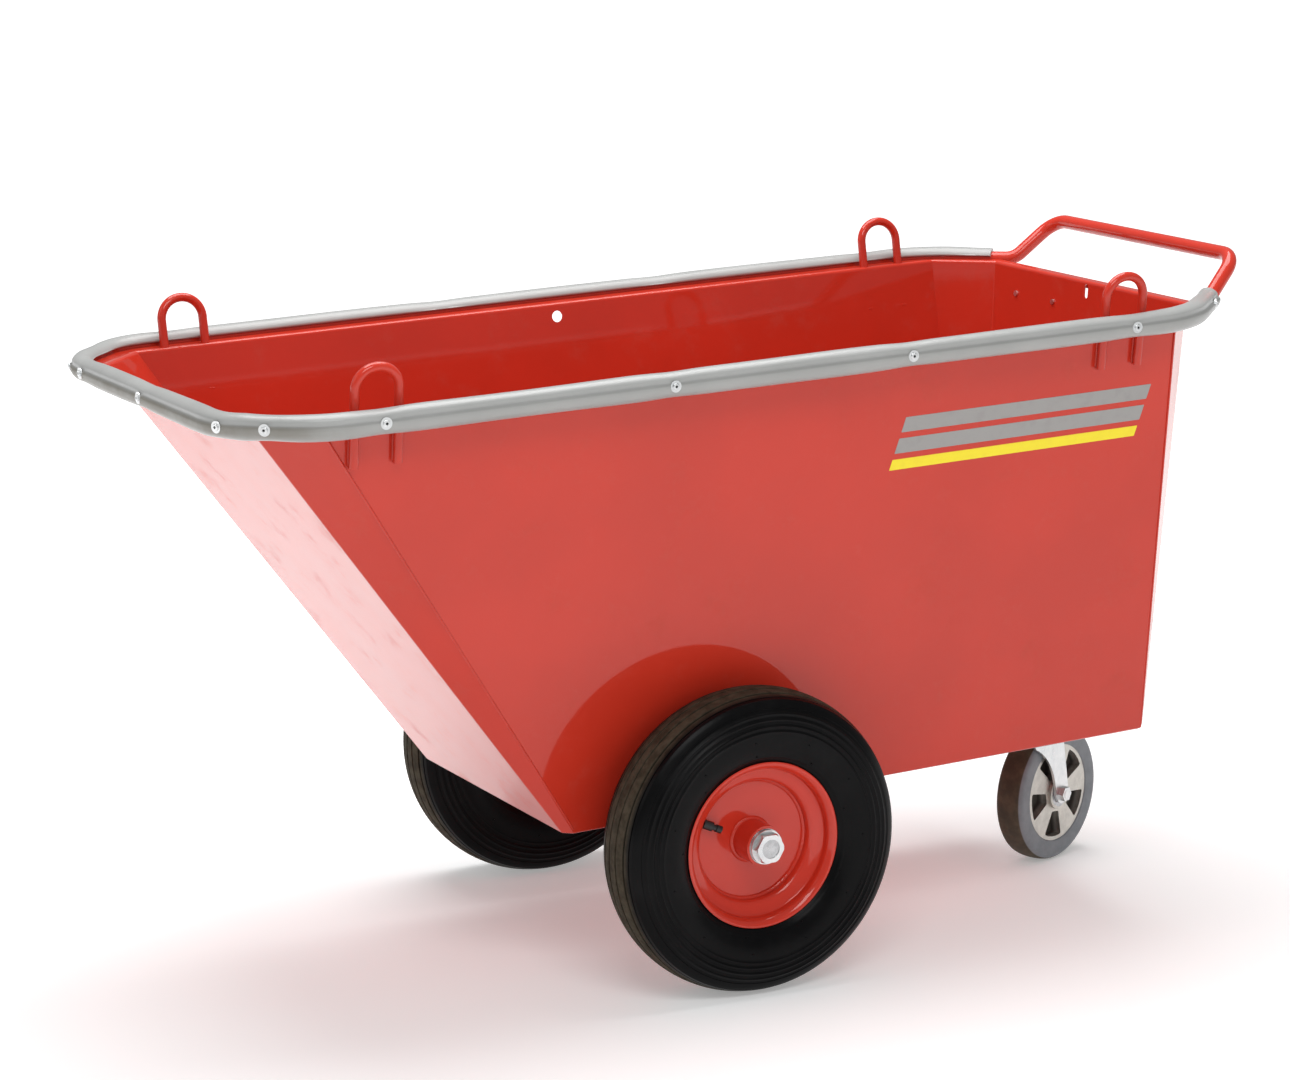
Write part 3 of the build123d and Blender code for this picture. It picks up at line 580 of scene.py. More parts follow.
def tub_face(depth, top):
    """The tub's outer face (depth 0) or its inner face (depth SHEET), open at the height top."""
    block = bmesh.new()
    bmesh.ops.create_cube(block, size=3000.0)
    for out, distance in walls.values():
        trim(block, out, distance - depth)
    for one, two, radius in BENDS:
        (out_a, at_a), (out_b, at_b) = walls[one], walls[two]
        inner = radius - depth if radius > depth + 0.4 else 0.4
        turn = out_a.angle(out_b)
        facets = max(4, math.ceil(radius / 2))
        for k in range(1, facets + 1):
            a = math.sin(turn * (1 - k / (facets + 1))) / math.sin(turn)
            b = math.sin(turn * k / (facets + 1)) / math.sin(turn)
            out = out_a * a + out_b * b
            trim(block, out, a * (at_a - depth - inner) + b * (at_b - depth - inner) + inner)
    trim(block, Vector((0, 0, 1)), top)
    lid = max(block.faces, key=lambda face: face.calc_center_median().z)
    bmesh.ops.delete(block, geom=[lid], context="FACES_ONLY")
    return block


print("sheet is", SHEET, "mm thick")

# %% [markdown]
# ### The ledge and its fold
#
# At the top the wall rolls over into the ledge. Each point on the cut edge knows the fold line that it
# stands on, so the wall can be carried up along it, rolled outwards through a short curve, and joined to
# the ledge's outer edge, which follows the rim tube. The ledge is flat, so its faces can be any triangles.

# %% The rim tube's centre line, seen from above
TUBE_R, TUBE_OFFSET, FRONT_BEND, REAR_BEND = 10.0, 35.0, 100.0, 150.0
REAR_CORNER, LEG_FOOT, BUMPER_END = (668.0, 338.5), (772.5, 237.3), (762.6, 246.9)


def nose_turns():
    """Where the tube's centre line turns: level with the nose, and where it joins the side."""
    a, b = rim_point("nose"), rim_point("side_front")
    along = (b - a).normalized()
    start = a + Vector((-along.y, along.x, 0)) * TUBE_OFFSET
    nose_x, side_y = RIM["nose"][0] - TUBE_OFFSET, RIM["side_rear"][1] + TUBE_OFFSET
    return ((nose_x, start.y + along.y * (nose_x - start.x) / along.x),
            (start.x + along.x * (side_y - start.y) / along.y, side_y))


NOSE_TURN, SIDE_TURN = nose_turns()
half_corners = [NOSE_TURN, SIDE_TURN, REAR_CORNER, BUMPER_END]
around = [(x, -y, RIM_Z) for x, y in half_corners[::-1]] + [(x, y, RIM_Z) for x, y in half_corners]
around_radii = [REAR_BEND, FRONT_BEND, FRONT_BEND, FRONT_BEND, FRONT_BEND, REAR_BEND]
print("tube turns at", [round(v, 1) for v in NOSE_TURN + SIDE_TURN])


# %% The ledge's outer edge
def ledge_edge():
    inset, rear_x = TUBE_R + 0.3, BUMPER_END[0] - TUBE_R - 0.3
    line = bent(around, around_radii, 12.0)
    edge = []
    for k, point in enumerate(line):
        ahead = (line[min(k + 1, len(line) - 1)] - line[max(k - 1, 0)]).normalized()
        inner = point + Vector((ahead.y, -ahead.x, 0)) * inset * (-1 if point_out(ahead, point) else 1)
        if inner.x < rear_x:
            edge.append(inner)
    run_dir = (Vector(REAR_CORNER) - Vector(BUMPER_END)).normalized()
    last = edge[-1]
    corner = Vector((rear_x, last.y - run_dir.y / run_dir.x * (last.x - rear_x), RIM_Z))
    return [Vector((corner.x, -corner.y, RIM_Z))] + edge + [corner]


def point_out(ahead, point):
    """Whether the right-hand side of the line's direction faces away from the tub's middle."""
    return ahead.y * (point.x - MIDDLE_X) - ahead.x * point.y > 0


edge_line = ledge_edge()
print("ledge edge has", len(edge_line), "points, rear at", round(edge_line[-1].x, 1))


# %% Roll the wall over into the ledge
def roll_out(block, level, fold):
    """Carry the open edge up to the ledge's level, roll it outwards, and give the last ring of points."""
    rim_edges = [e for e in block.edges if e.is_boundary]
    start = rim_edges[0].verts[0]
    ring, edge = [start], rim_edges[0]
    while True:
        ahead = edge.other_vert(ring[-1])
        if ahead is start:
            break
        ring.append(ahead)
        edge = next(e for e in ahead.link_edges if e.is_boundary and e is not edge)
    tops = []
    for vertex in ring:
        below = next(e for e in vertex.link_edges if not e.is_boundary).other_vert(vertex)
        way = vertex.co - below.co
        tops.append(vertex.co + way * (level - vertex.co.z) / way.z)
    ends = []
    for k, top in enumerate(tops):
        a = (top - tops[k - 1]).normalized()
        b = (tops[(k + 1) % len(tops)] - top).normalized()
        outs = [Vector((d.y, -d.x, 0)) for d in (a, b)]
        outs = [out if out.dot(top - Vector((MIDDLE_X, 0, level))) > 0 else -out for out in outs]
        ends.append(top + (outs[0] + outs[1]) * fold / (1 + outs[0].dot(outs[1])))
    rings = [ring]
    for t in (0.14, 0.3, 0.45, 0.6, 0.75, 0.88, 1.0):
        rings.append([block.verts.new(v.co * (1 - t) ** 2 + top * 2 * t * (1 - t) + end * t * t)
                      for v, top, end in zip(ring, tops, ends)])
    for low, high in zip(rings, rings[1:]):
        for k in range(len(ring)):
            j = (k + 1) % len(ring)
            block.faces.new((low[k], low[j], high[j], high[k]))
    return rings[-1]


def ledge_faces(block, ring, level):
    """Fill the flat ledge between the rolled edge and its outer edge."""
    outer = [block.verts.new(Vector((p.x, p.y, level))) for p in edge_line]
    flat = [[v.co for v in outer], [v.co for v in ring]]
    both = outer + list(ring)
    for a, b, c in geometry.tessellate_polygon(flat):
        block.faces.new((both[a], both[b], both[c]))
    return outer


print("the fold is rolled in 7 steps")

# %% Join the two faces of the sheet
def tub_shell():
    inner, outer = tub_face(SHEET, RIM_Z - 4.5), tub_face(0, RIM_Z - SHEET - 2.5)
    upper = ledge_faces(inner, roll_out(inner, RIM_Z, 4.5), RIM_Z)
    lower = ledge_faces(outer, roll_out(outer, RIM_Z - SHEET, 2.5), RIM_Z - SHEET)
    shell = bmesh.new()
    for part in (inner, outer):
        mesh = bpy.data.meshes.new("half")
        part.to_mesh(mesh)
        shell.from_mesh(mesh)
        bpy.data.meshes.remove(mesh)
    shell.verts.ensure_lookup_table()
    inner.verts.index_update()
    outer.verts.index_update()
    shift = len(inner.verts)
    above = [shell.verts[v.index] for v in upper]
    below = [shell.verts[shift + v.index] for v in lower]
    for k in range(len(above)):
        j = (k + 1) % len(above)
        shell.faces.new((above[k], above[j], below[j], below[k]))
    bmesh.ops.recalc_face_normals(shell, faces=shell.faces)
    for vertex in shell.verts:
        vertex.co = tub(*vertex.co)
    mesh = bpy.data.meshes.new("tub_skin")
    shell.to_mesh(mesh)
    shell.free()
    return bpy.data.objects.new("tub_skin", mesh)


tub_skin = tub_shell()
bpy.context.scene.collection.objects.link(tub_skin)
print("tub skin:", len(tub_skin.data.vertices), "points,", len(tub_skin.data.polygons), "faces")

# %% [markdown]
# ### Holes in the walls
#
# Each side wall has a 16 mm hole under the rim, and the rear wall has an upright slot. They are punched, so
# they go straight through. A Boolean modifier is the plain way to punch a shape through a thin wall. Its
# result is made the mesh itself, and the punches are thrown away. Weighted normals then keep the big flat
# faces flat in the light, next to the narrow facets of the bends.

# %% Punch the holes
def climb_side(side):
    """The way straight up a side wall, in its own plane."""
    foot = Vector((RIM["side_rear"][0], FOOT["side_rear"][1], FLOOR_Z))
    climb = (rim_point("side_rear") - foot).normalized()
    return Vector((0, climb.y * side, climb.z)).normalized()


def punch(name, at, out, radius, stretch=0.0, up=None):
    """A bar that stands across a wall, stretched upwards into a slot if asked."""
    bar = bmesh.new()
    bmesh.ops.create_cone(bar, cap_ends=True, segments=48, radius1=radius, radius2=radius, depth=24.0)
    side = out.orthogonal() if up is None else up.cross(out)
    turn = Matrix((side.normalized(), out.cross(side.normalized()), out)).transposed()
    for vertex in bar.verts:
        vertex.co.y += stretch / 2 if vertex.co.y > 0 else -stretch / 2
        vertex.co = tub(*(at + turn @ vertex.co))
    mesh = bpy.data.meshes.new(name)
    bar.to_mesh(mesh)
    tool = bpy.data.objects.new(name, mesh)
    bpy.context.scene.collection.objects.link(tool)
    return tool


punches = []
HOLE_X, HOLE_DROP, HOLE_R = 52.0, 19.0, 8.0
SLOT_DROP, SLOT_R, SLOT_STRETCH = 15.0, 4.25, 11.5
for label, side in SIDES.items():
    at = Vector((HOLE_X, RIM["side_rear"][1] * side, RIM_Z)) - climb_side(side) * HOLE_DROP
    punches.append(punch("punch_" + label, at, walls["side_" + label][0], HOLE_R))
climb = (Vector((RIM["tail"][0], 0, RIM_Z)) - Vector((FOOT["tail"][0], 0, FLOOR_Z))).normalized()
at = Vector((RIM["tail"][0], 0, RIM_Z)) - climb * SLOT_DROP
punches.append(punch("punch_slot", at, walls["tail"][0], SLOT_R, SLOT_STRETCH, climb))
print(len(punches), "punches")


# %% Make modifiers permanent
def settle(thing, *tools):
    """Turn a piece with its modifiers into a plain mesh, and throw the tools away."""
    done = bpy.data.meshes.new_from_object(thing.evaluated_get(bpy.context.evaluated_depsgraph_get()))
    thing.modifiers.clear()
    thing.data = done
    for tool in tools:
        bpy.data.objects.remove(tool)
    return thing


for tool in punches:
    cut = tub_skin.modifiers.new(tool.name, "BOOLEAN")
    cut.object, cut.solver = tool, "EXACT"
settle(tub_skin, *punches)
dress(tub_skin, RED, "tub", 60)
tub_skin.modifiers.new("flat faces stay flat", "WEIGHTED_NORMAL").keep_sharp = True
settle(tub_skin)
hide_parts("side_panel_left", "side_panel_right", "front_panel", "front_corner_left",
            "front_corner_right", "rear_corner_left", "rear_corner_right", "floor_panel", "rear_panel",
            "rim_ledge")
print("tub skin after punching:", len(tub_skin.data.polygons), "faces")

# %% [markdown]
# ## Weld beads
#
# The chamfer sheets are welded to the side walls, and the lifting loops to the outside of them. A hand-laid
# bead is a row of overlapping ripples, each a frozen pool. A swept ring whose radius swells and shrinks
# every few millimetres gives that, and the paint over it is the same red.

# %% Lay a bead along a line
def bead(start, end, radius, pitch=3.4, flat=0.7):
    """A weld bead between two places on the tub; flat squashes it towards the sheet."""
    line = bent([start, end], [], 0.9)

    def ring(k, point):
        along = k * (line[1] - line[0]).length
        ripple = 1 + 0.16 * abs(math.sin(math.pi * along / pitch)) + 0.05 * math.sin(along * 0.9)
        taper = min(1.0, 0.35 + min(k, len(line) - 1 - k) / 4)
        return [(a * ripple * taper * MM, u * ripple * taper * flat * MM) for a, u in circle(radius, 10)]

    return swept([tub(*p) for p in line], ring)


def welds(name, beads):
    return piece(name, *joined(beads), RED, "tub", "red_paint", 50)


CORNER_BEAD_R = 1.7
for label, side in SIDES.items():
    for where in ("side_front", "side_rear"):
        low = foot_point(where, side) + Vector((0, 0, 6))
        high = rim_point(where, side) - Vector((0, 0, 4))
        welds(f"weld_{where}_{label}", [bead(low, high, CORNER_BEAD_R)])
print("corner welds are", 2 * CORNER_BEAD_R, "mm wide")

# %% Weld the loops to the walls and the axle to the floor
ROD_R, LOOP_HALF_W, LOOP_FOOT = 6.0, 29.0, -60.0
LOOP_X = {"front_left": -498.0, "front_right": -498.0, "rear_left": 581.0, "rear_right": 588.0}
for label, x in LOOP_X.items():
    side = SIDES[label.split("_")[1]]
    climb = climb_side(side)
    rim_spot = Vector((x, RIM["side_rear"][1] * side, RIM_Z))
    lines = []
    for leg in (-1, 1):
        for edge in (-1, 1):
            spot = rim_spot + Vector((leg * LOOP_HALF_W + edge * ROD_R * 0.72, 0, 0))
            lines.append(bead(spot + climb * (LOOP_FOOT + 1), spot - climb * 4, 1.5, 3.0, 1.0))
        toe = rim_spot + Vector((leg * LOOP_HALF_W, 0, 0)) + climb * (LOOP_FOOT - 0.5)
        lines.append(bead(toe - Vector((5, 0, 0)), toe + Vector((5, 0, 0)), 2.2, 3.0, 1.0))
    welds("weld_loop_" + label, lines)
AXLE_HALF, AXLE_WELD = 17.5, 205.0
welds("weld_axle", [bead(Vector((x, -AXLE_WELD, FLOOR_Z)), Vector((x, AXLE_WELD, FLOOR_Z)), 2.6, 4.0, 1.0)
                    for x in (-AXLE_HALF - 0.6, AXLE_HALF + 0.6)])

# %% [markdown]
# ### The ledge's turned-down lip
#
# Between the handle's legs no tube stiffens the ledge, so its edge is folded down 14 mm instead. The lip is
# the same sheet with a small round at the fold, so a bent outline carried across the cart is all it needs.

# %% Fold the lip
LIP_HEIGHT, LIP_HALF_W, FOLD = 14.0, BUMPER_END[1] - 20.0, 1.6


def lip_outline():
    outer_x, inner_x = edge_line[-1].x + 0.2, edge_line[-1].x - SHEET
    turn = [(outer_x - FOLD + FOLD * math.sin(a), RIM_Z + 0.1 - FOLD + FOLD * math.cos(a))
            for a in (math.pi / 2 * k / 5 for k in range(6))]
    low = RIM_Z - LIP_HEIGHT
    foot = [(outer_x, low + 0.4), (outer_x - 0.4, low), (inner_x + 0.4, low), (inner_x, low + 0.4)]
    return [(inner_x, RIM_Z + 0.1)] + turn + foot


outline = lip_outline()
points = [tub(x, y, z) for y in (-LIP_HALF_W, LIP_HALF_W) for x, z in outline]
piece("ledge_lip", points, prism(len(outline)), RED, "tub", "red_paint", 40)
print("lip is", round(2 * LIP_HALF_W), "mm wide")

# %% [markdown]
# ## Side stripes
#
# The left wall carries a band of three plain stripes, one yellow and two grey. Cut vinyl is a tenth of a
# millimetre thick and has slightly rounded corners. It lies flat on the wall, so each stripe is its outline
# drawn on the wall's own plane, lifted a little.

# %% Make the vinyl
def vinyl(name, colour, worn):
    film = Finish(name, Specular_IOR_Level=0.35)
    rubbed = step(film, noise(film, 60.0, 5, 0.6), 0.45, 0.8)
    film.feed("Base Color", mix(film, rubbed * 0.5, colour, worn))
    film.feed("Roughness", 0.32 + rubbed * 0.15)
    film.feed("Normal", bump(film, noise(film, 25.0, 3), 0.0002))
    return film


GREY_VINYL = vinyl("grey_vinyl", (0.33, 0.32, 0.31), (0.27, 0.255, 0.25))
YELLOW_VINYL = vinyl("yellow_vinyl", (0.90, 0.74, 0.025), (0.80, 0.62, 0.03))
print("vinyl:", GREY_VINYL.material.name, YELLOW_VINYL.material.name)


# %% Lay the stripes on the wall
def bar(corners, lift=0.25, rounding=1.2):
    """Points and faces of one flat stripe, from its (x, z) corners."""
    out, distance = walls["side_left"]
    line = []
    for k, corner in enumerate(corners):
        here = Vector(corner)
        before, after = Vector(corners[k - 1]), Vector(corners[(k + 1) % len(corners)])
        a, b = here + (before - here).normalized() * rounding, here + (after - here).normalized() * rounding
        line += [a * (1 - t) ** 2 + here * 2 * t * (1 - t) + b * t * t for t in (0, 0.25, 0.5, 0.75, 1)]
    points = []
    for height in (0.0, lift):
        for x, z in line:
            flat = Vector((x, (distance - out.x * x - out.z * z) / out.y, z))
            points.append(tub(*(flat + out * height)))
    return points, prism(len(line))


BAND_X, BAND_Z, BAND_LENGTH, SLANT = 235.0, 450.0, 385.0, 0.30


def stripe(rise, height):
    """One slanted stripe of the band, this far above the band's foot."""
    left, low = BAND_X + SLANT * rise, BAND_Z + rise
    lean = SLANT * height
    return bar([(left, low), (left + BAND_LENGTH, low), (left + BAND_LENGTH + lean, low + height),
                (left + lean, low + height)])


piece("sticker_grey", *joined([stripe(22, 20), stripe(50, 20)]), GREY_VINYL, "tub", None)
piece("sticker_yellow", *stripe(0, 14), YELLOW_VINYL, "tub", None)
print("stripes laid from", BAND_X, "to", BAND_X + BAND_LENGTH)

# %% [markdown]
# ## The rubber bumper
#
# The bumper is a thick hose, open along its inner side and pushed over the rim tube. Sixteen screws with
# wide washers hold it, and each washer sinks into the rubber and pinches it, so the hose swells a little
# between screws. The hose is swept as a C-shaped section. At each point of the section the distance to the
# nearest screw says how far the surface is pressed in.

# %% Find the screws from their washers
def clusters(node, reach=0.02):
    """The middles of the separate small things in one CAD node."""
    groups = []
    for vertex in nodes[node].data.vertices:
        for group in groups:
            if (group[0] - vertex.co).length < reach:
                group.append(vertex.co.copy())
                break
        else:
            groups.append([vertex.co.copy()])
    return [sum(group, Vector()) / len(group) for group in groups]


washers = clusters("bumper_washers")
print(len(washers), "washers round the bumper")

# %% The hose's section
HOSE_R, HOLE_R, OPEN = 16.25, 10.05, 38.0
PRESSED = 14.75            # a washer's back face, from the tube's middle


def hose_section():
    """(angle from outwards, radius): the outside, a lip, back along the inside and the other lip."""
    edge = 180 - OPEN
    count = 90
    outside = []
    for k in range(count + 1):
        t = 1 - 2 * k / count
        outside.append(((edge - 5) * (0.55 * t + 0.45 * t ** 3), HOSE_R))
    lip = [(edge - 2.4, HOSE_R - 0.25), (edge - 0.6, HOSE_R - 1.0), (edge, HOSE_R - 2.0),
           (edge, HOLE_R + 1.0), (edge - 1.0, HOLE_R + 0.2)]
    inside = [(-(edge - 3) + 2 * (edge - 3) * k / 24, HOLE_R) for k in range(25)]
    return outside + [(-a, r) for a, r in lip] + inside + lip[::-1]


def press(along, out, up):
    """Where the washers and the hose's own slackness leave one point of its outside."""
    nearest = min(abs(along - s) for s in screw_places)
    slack = math.sin(along * 0.021) * 0.35 + math.sin(along * 0.0083 + 1.3) * 0.45
    pinch = math.exp(-(nearest / 30) ** 2)
    grow = 1 + (slack * 0.8 + 0.4 - 1.2 * pinch) / HOSE_R
    out, up = out * (1 + (grow - 1) * 0.4), up * grow
    groove = 0.0
    if out > 0:
        groove = (2.5 - 1.0 * math.exp(-(nearest / 14) ** 2)) * math.exp(-((up - 0.8) / 3.6) ** 2)
    reach = math.hypot(nearest, up)
    t = min(1.0, max(0.0, (reach - 8.0) / 7.0))
    limit = PRESSED + (HOSE_R - PRESSED) * t * t * (3 - 2 * t)
    return min(out - groove, limit), up


print("hose is", 2 * HOSE_R, "mm thick over a", 2 * TUBE_R, "mm tube")

# %% Sweep the hose
HOSE_SHORT = 19.0          # the right end is cut shorter than the left
HOSE_RISE = 16.0           # the left end follows the tube up into the bend of the handle's leg
HANDLE_TURN, LEG_BEND = (833.0, -217.5, 665.5), 30.0
cut_back = (Vector(REAR_CORNER) - Vector(BUMPER_END)).normalized() * HOSE_SHORT
right_end = (BUMPER_END[0] + cut_back.x, BUMPER_END[1] + cut_back.y, RIM_Z)
leg_foot = (LEG_FOOT[0], -LEG_FOOT[1], RIM_Z)
hose_line = bent([HANDLE_TURN, leg_foot] + around[1:-1] + [right_end], [LEG_BEND] + around_radii, 2.5)
level = next(k for k, point in enumerate(hose_line) if point.z < RIM_Z + 0.01)
while (hose_line[1] - hose_line[level]).length > HOSE_RISE:
    hose_line.pop(0)
    level -= 1
lengths = [0.0]
for a, b in zip(hose_line, hose_line[1:]):
    lengths.append(lengths[-1] + (b - a).length)
world_line = [tub(*p) for p in hose_line]


def nearest_place(washer):
    """Which point of the hose's line is nearest to a washer, leaving out both ends."""
    return min(range(1, len(world_line) - 1), key=lambda k: (world_line[k] - washer).length)


screw_places = [lengths[nearest_place(washer)] for washer in washers]
section = hose_section()


def hose_ring(k, point):
    ends = min(k, len(hose_line) - 1 - k)
    flare = 1.0 if ends > 2 else 0.955 + 0.015 * ends
    ring = []
    for angle, radius in section:
        out, up = radius * math.cos(math.radians(angle)), radius * math.sin(math.radians(angle))
        if radius > HOSE_R - 0.1:
            out, up = press(lengths[k], out, up)
            out, up = out * flare, up * flare
        ring.append((out * MM, up * MM))
    return ring


outwards = Vector((0, -1, 0)) if world_line[0].y < 0 else Vector((0, 1, 0))
hose = swept(world_line, hose_ring, outwards)
bumper = piece("bumper_hose", *hose, GREY_RUBBER, "tub", "bumper_rubber", 50)
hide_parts("rubber_bumper")
print("bumper is", round(lengths[-1] / 1000, 3), "m long,", len(bumper.data.vertices), "points")

# %% [markdown]
# ### Painted shade and dirt in the sockets
#
# Each screw has a hexagonal socket. It lies in shade deep inside and yard dirt packs into it, so that it
# reads as a dark dot, and a small dark disc on the socket's floor paints that shade and dirt.

# %% Paint shade and dirt into the screws' sockets
SOCKET_R, SOCKET_FLOOR, DARK_DISC_TOP = 1.7, 0.9, 1.35      # the last two from the washer's middle, outwards


def socket_shade_and_dirt(washer):
    """A dark disc on the floor of the socket over one washer, painted shade and dirt."""
    k = nearest_place(washer)
    out = (world_line[k + 1] - world_line[k - 1]).cross(Vector((0, 0, 1))).normalized()
    out = out if out.dot(washer - world_line[k]) > 0 else -out
    disc = [(a * MM, u * MM) for a, u in circle(SOCKET_R, 12)]
    return swept([washer + out * SOCKET_FLOOR * MM, washer + out * DARK_DISC_TOP * MM], lambda k, point: disc)


# a dark disc in each socket: painted shade and dirt
piece("screw_socket_shade_and_dirt", *joined([socket_shade_and_dirt(washer) for washer in washers]), VALVE_RUBBER, "tub", None)
print("sockets darkened:", len(washers))

# %% [markdown]
# ## Tyres
#
# A ribbed barrow tyre: round sidewalls, a few raised rings near the shoulder, and straight grooves round a
# slightly crowned tread. It is a solid of revolution, so one good section is the whole job. The smooth
# outline is drawn through a few points with a spline, and rings and grooves are added as relief on it.

# %% The tyre's outline
RIBS_FROM, RIBS_TO, RIB_PITCH = 150.0, 181.0, 7.75     # radii of the raised rings near the shoulder
RING_FROM, RING_TO = 116.0, 119.5                      # and of the low one beside the rim
TREAD_HALF_W, CROWN = 38.0, 8.0
GROOVES = [(24.0, 1.5, 4.0), (8.0, 1.5, 4.0), (33.0, 0.8, 1.6)]     # place, half width, depth


def through(points, per_span):
    """A smooth line through points in the plane (Catmull-Rom)."""
    line = []
    ends = [points[0]] + list(points) + [points[-1]]
    for a, b, c, d in zip(ends, ends[1:], ends[2:], ends[3:]):
        for k in range(per_span):
            t = k / per_span
            line.append(tuple(0.5 * (2 * q + (r - p) * t + (2 * p - 5 * q + 4 * r - s) * t * t
                                     + (3 * q - p - 3 * r + s) * t ** 3) for p, q, r, s in zip(a, b, c, d)))
    return line + [points[-1]]


def tyre_half():
    """From the bead to the middle of the tread, on the +axis side."""
    wall = through([(109, 34.2), (114, 38.5), (122, 43.6), (132, 47.4), (145, 49.6), (158, 50.0), (170, 48.3),
                    (180, 45.0), (187, 41.6), (191.2, 38.6)], 9)
    line = [(101.6, 21.0), (101.6, 29.5), (104, 31.9)]
    for k, (radius, along) in enumerate(wall):
        a, b = wall[max(k - 1, 0)], wall[min(k + 1, len(wall) - 1)]
        size = math.hypot(b[0] - a[0], b[1] - a[1])
        out = (-(b[1] - a[1]) / size, (b[0] - a[0]) / size)
        rib = sunk = 0.0
        if RIBS_FROM < radius < RIBS_TO:
            rib = 1.7 * max(0.0, math.sin(2 * math.pi * (radius - RIBS_FROM) / RIB_PITCH)) ** 0.6
            sunk = 0.9
        if RING_FROM < radius < RING_TO:
            rib = 0.5
        line.append((radius + out[0] * rib * 0.6, along + out[1] * rib - sunk))
    return line


def tread_half():
    """From the shoulder to the middle of the tread, with its grooves."""
    line = []
    count = 190
    for k in range(count + 1):
        along = TREAD_HALF_W * (1 - k / count)
        radius = 200.0 - CROWN * (along / TREAD_HALF_W) ** 2.2
        for middle, half, deep in GROOVES:
            if abs(along - middle) < half:
                radius -= deep
        line.append((radius, along))
    return line


half = tyre_half() + tread_half()
tyre_outline = half + [(r, -y) for r, y in half[-2::-1]]
TRACK_HALF = 0.3056        # metres, from the cart's middle to the wheel's
WHEEL_CENTRES = {"left": AXLE - Vector((0, TRACK_HALF, 0)), "right": AXLE + Vector((0, TRACK_HALF, 0))}
for label, centre in WHEEL_CENTRES.items():
    tyre = spin("tyre_cover_" + label, tyre_outline, centre, AXLE_WAY, TYRE_RUBBER, "wheel_" + label,
                "tyre_rubber", turns=192, sharp=40)
    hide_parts("tyre_" + label)
print("tyre outline has", len(tyre_outline), "points")

# %% [markdown]
# ### Vent nubs
#
# Air leaves the mould through small holes, and the rubber that follows it stays on the sidewall as short
# nubs. Each is a tiny rod standing out of the surface, and all those of one tyre make one piece.

# %% Stand the nubs on the sidewalls
VENT_RINGS = [(121.0, 9, 0.3), (141.0, 11, 0.0)]     # radius, how many, turn of the first
NUB_HEIGHTS, NUB_R, NUB_TAPER = (-0.8, 0.6, 1.3), 1.3, 0.35


def nub_ring(k, point):
    return [(a * MM, u * MM) for a, u in circle(NUB_R - NUB_TAPER * k, 8)]


def vents(centre):
    shapes = []
    for radius, count, first in VENT_RINGS:
        surface = min(tyre_half(), key=lambda spot: abs(spot[0] - radius) + (spot[1] < 35) * 50)[1]
        for k in range(count):
            for face in (1, -1):
                turn = first + 2 * math.pi * k / count
                ray = Vector((math.cos(turn), 0, math.sin(turn))) * radius
                line = [centre + (ray + Vector((0, face * (surface + out), 0))) * MM for out in NUB_HEIGHTS]
                shapes.append(swept(line, nub_ring))
    return joined(shapes)


for label, centre in WHEEL_CENTRES.items():
    piece("tyre_vents_" + label, *vents(centre), TYRE_RUBBER, "wheel_" + label, "tyre_rubber")
print(2 * sum(count for radius, count, first in VENT_RINGS), "nubs on each tyre")

# %% [markdown]
# ## Wheel rims
#
# Each wheel is a pressed drop-centre rim with a flat disc welded inside it, painted the same red. The
# flange ends in a small rolled bead that catches a bright line of light. The section is the middle of the
# sheet given its thickness on both sides, with an extra round at the flange.

# %% Give a line thickness
def thick(line, thickness):
    left, right = [], []
    for k, (x, y) in enumerate(line):
        a, b = line[max(k - 1, 0)], line[min(k + 1, len(line) - 1)]
        size = math.hypot(b[0] - a[0], b[1] - a[1]) or 1
        out = (-(b[1] - a[1]) / size * thickness / 2, (b[0] - a[0]) / size * thickness / 2)
        left.append((x + out[0], y + out[1]))
        right.append((x - out[0], y - out[1]))
    return left + right[::-1]


rim_half = through([(109.2, 36.0), (107.6, 36.6), (105.2, 35.6), (102.2, 32.6), (100.2, 29.0), (100.0, 24.0),
                    (98.6, 20.4), (93.0, 17.4), (85.0, 14.4), (81.2, 10.5), (80.3, 5.0), (80.2, 0.0)], 6)
rim_section = thick(rim_half + [(r, -y) for r, y in rim_half[-2::-1]], 2.4)
disc_section = [(27.3, 2.0), (60.0, 2.0), (76.0, 2.0), (79.6, 2.0), (79.6, -2.0), (27.3, -2.0)]
print("rim section has", len(rim_section), "points")


# %% Spin the rims, discs and their welds
WHEEL_WELDS = {"hub": [(27.0, 1.5), (31.0, 1.5), (30.6, 3.0), (29.2, 4.4), (27.0, 5.2)],
               "rim": [(79.6, 1.5), (75.4, 1.5), (75.9, 3.1), (77.2, 4.4), (79.6, 5.6)]}


def rippled(turn, radius, along):
    """A weld's overlapping pools, 68 to the turn."""
    return radius, along + 0.35 * abs(math.sin(turn * 34)) * (1 if along > 0 else -1)


for label, centre in WHEEL_CENTRES.items():
    body = "wheel_" + label
    shell = spin("wheel_rim_skin_" + label, rim_section, centre, AXLE_WAY, RED, body, "red_paint", 160, 40)
    disc = spin("wheel_disc_" + label, disc_section, centre, AXLE_WAY, RED, body, "red_paint", 96, 40)
    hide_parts("wheel_rim_" + label)
    for face in (1, -1):
        side = "outer" if (face > 0) == (label == "right") else "inner"
        for name, outline in WHEEL_WELDS.items():
            ring = [(radius, face * out) for radius, out in outline]
            spin(f"weld_{name}_{side}_{label}", ring, centre, AXLE_WAY, RED, body, "red_paint", 272, 50,
                 wobble=rippled)
print("rims built on", sorted(WHEEL_CENTRES))

# %% [markdown]
# ## Caster tyre
#
# The caster's tyre has flat sides, a rounded shoulder and a slightly crowned tread, with a fine mould line
# where it meets the cast wheel centre.

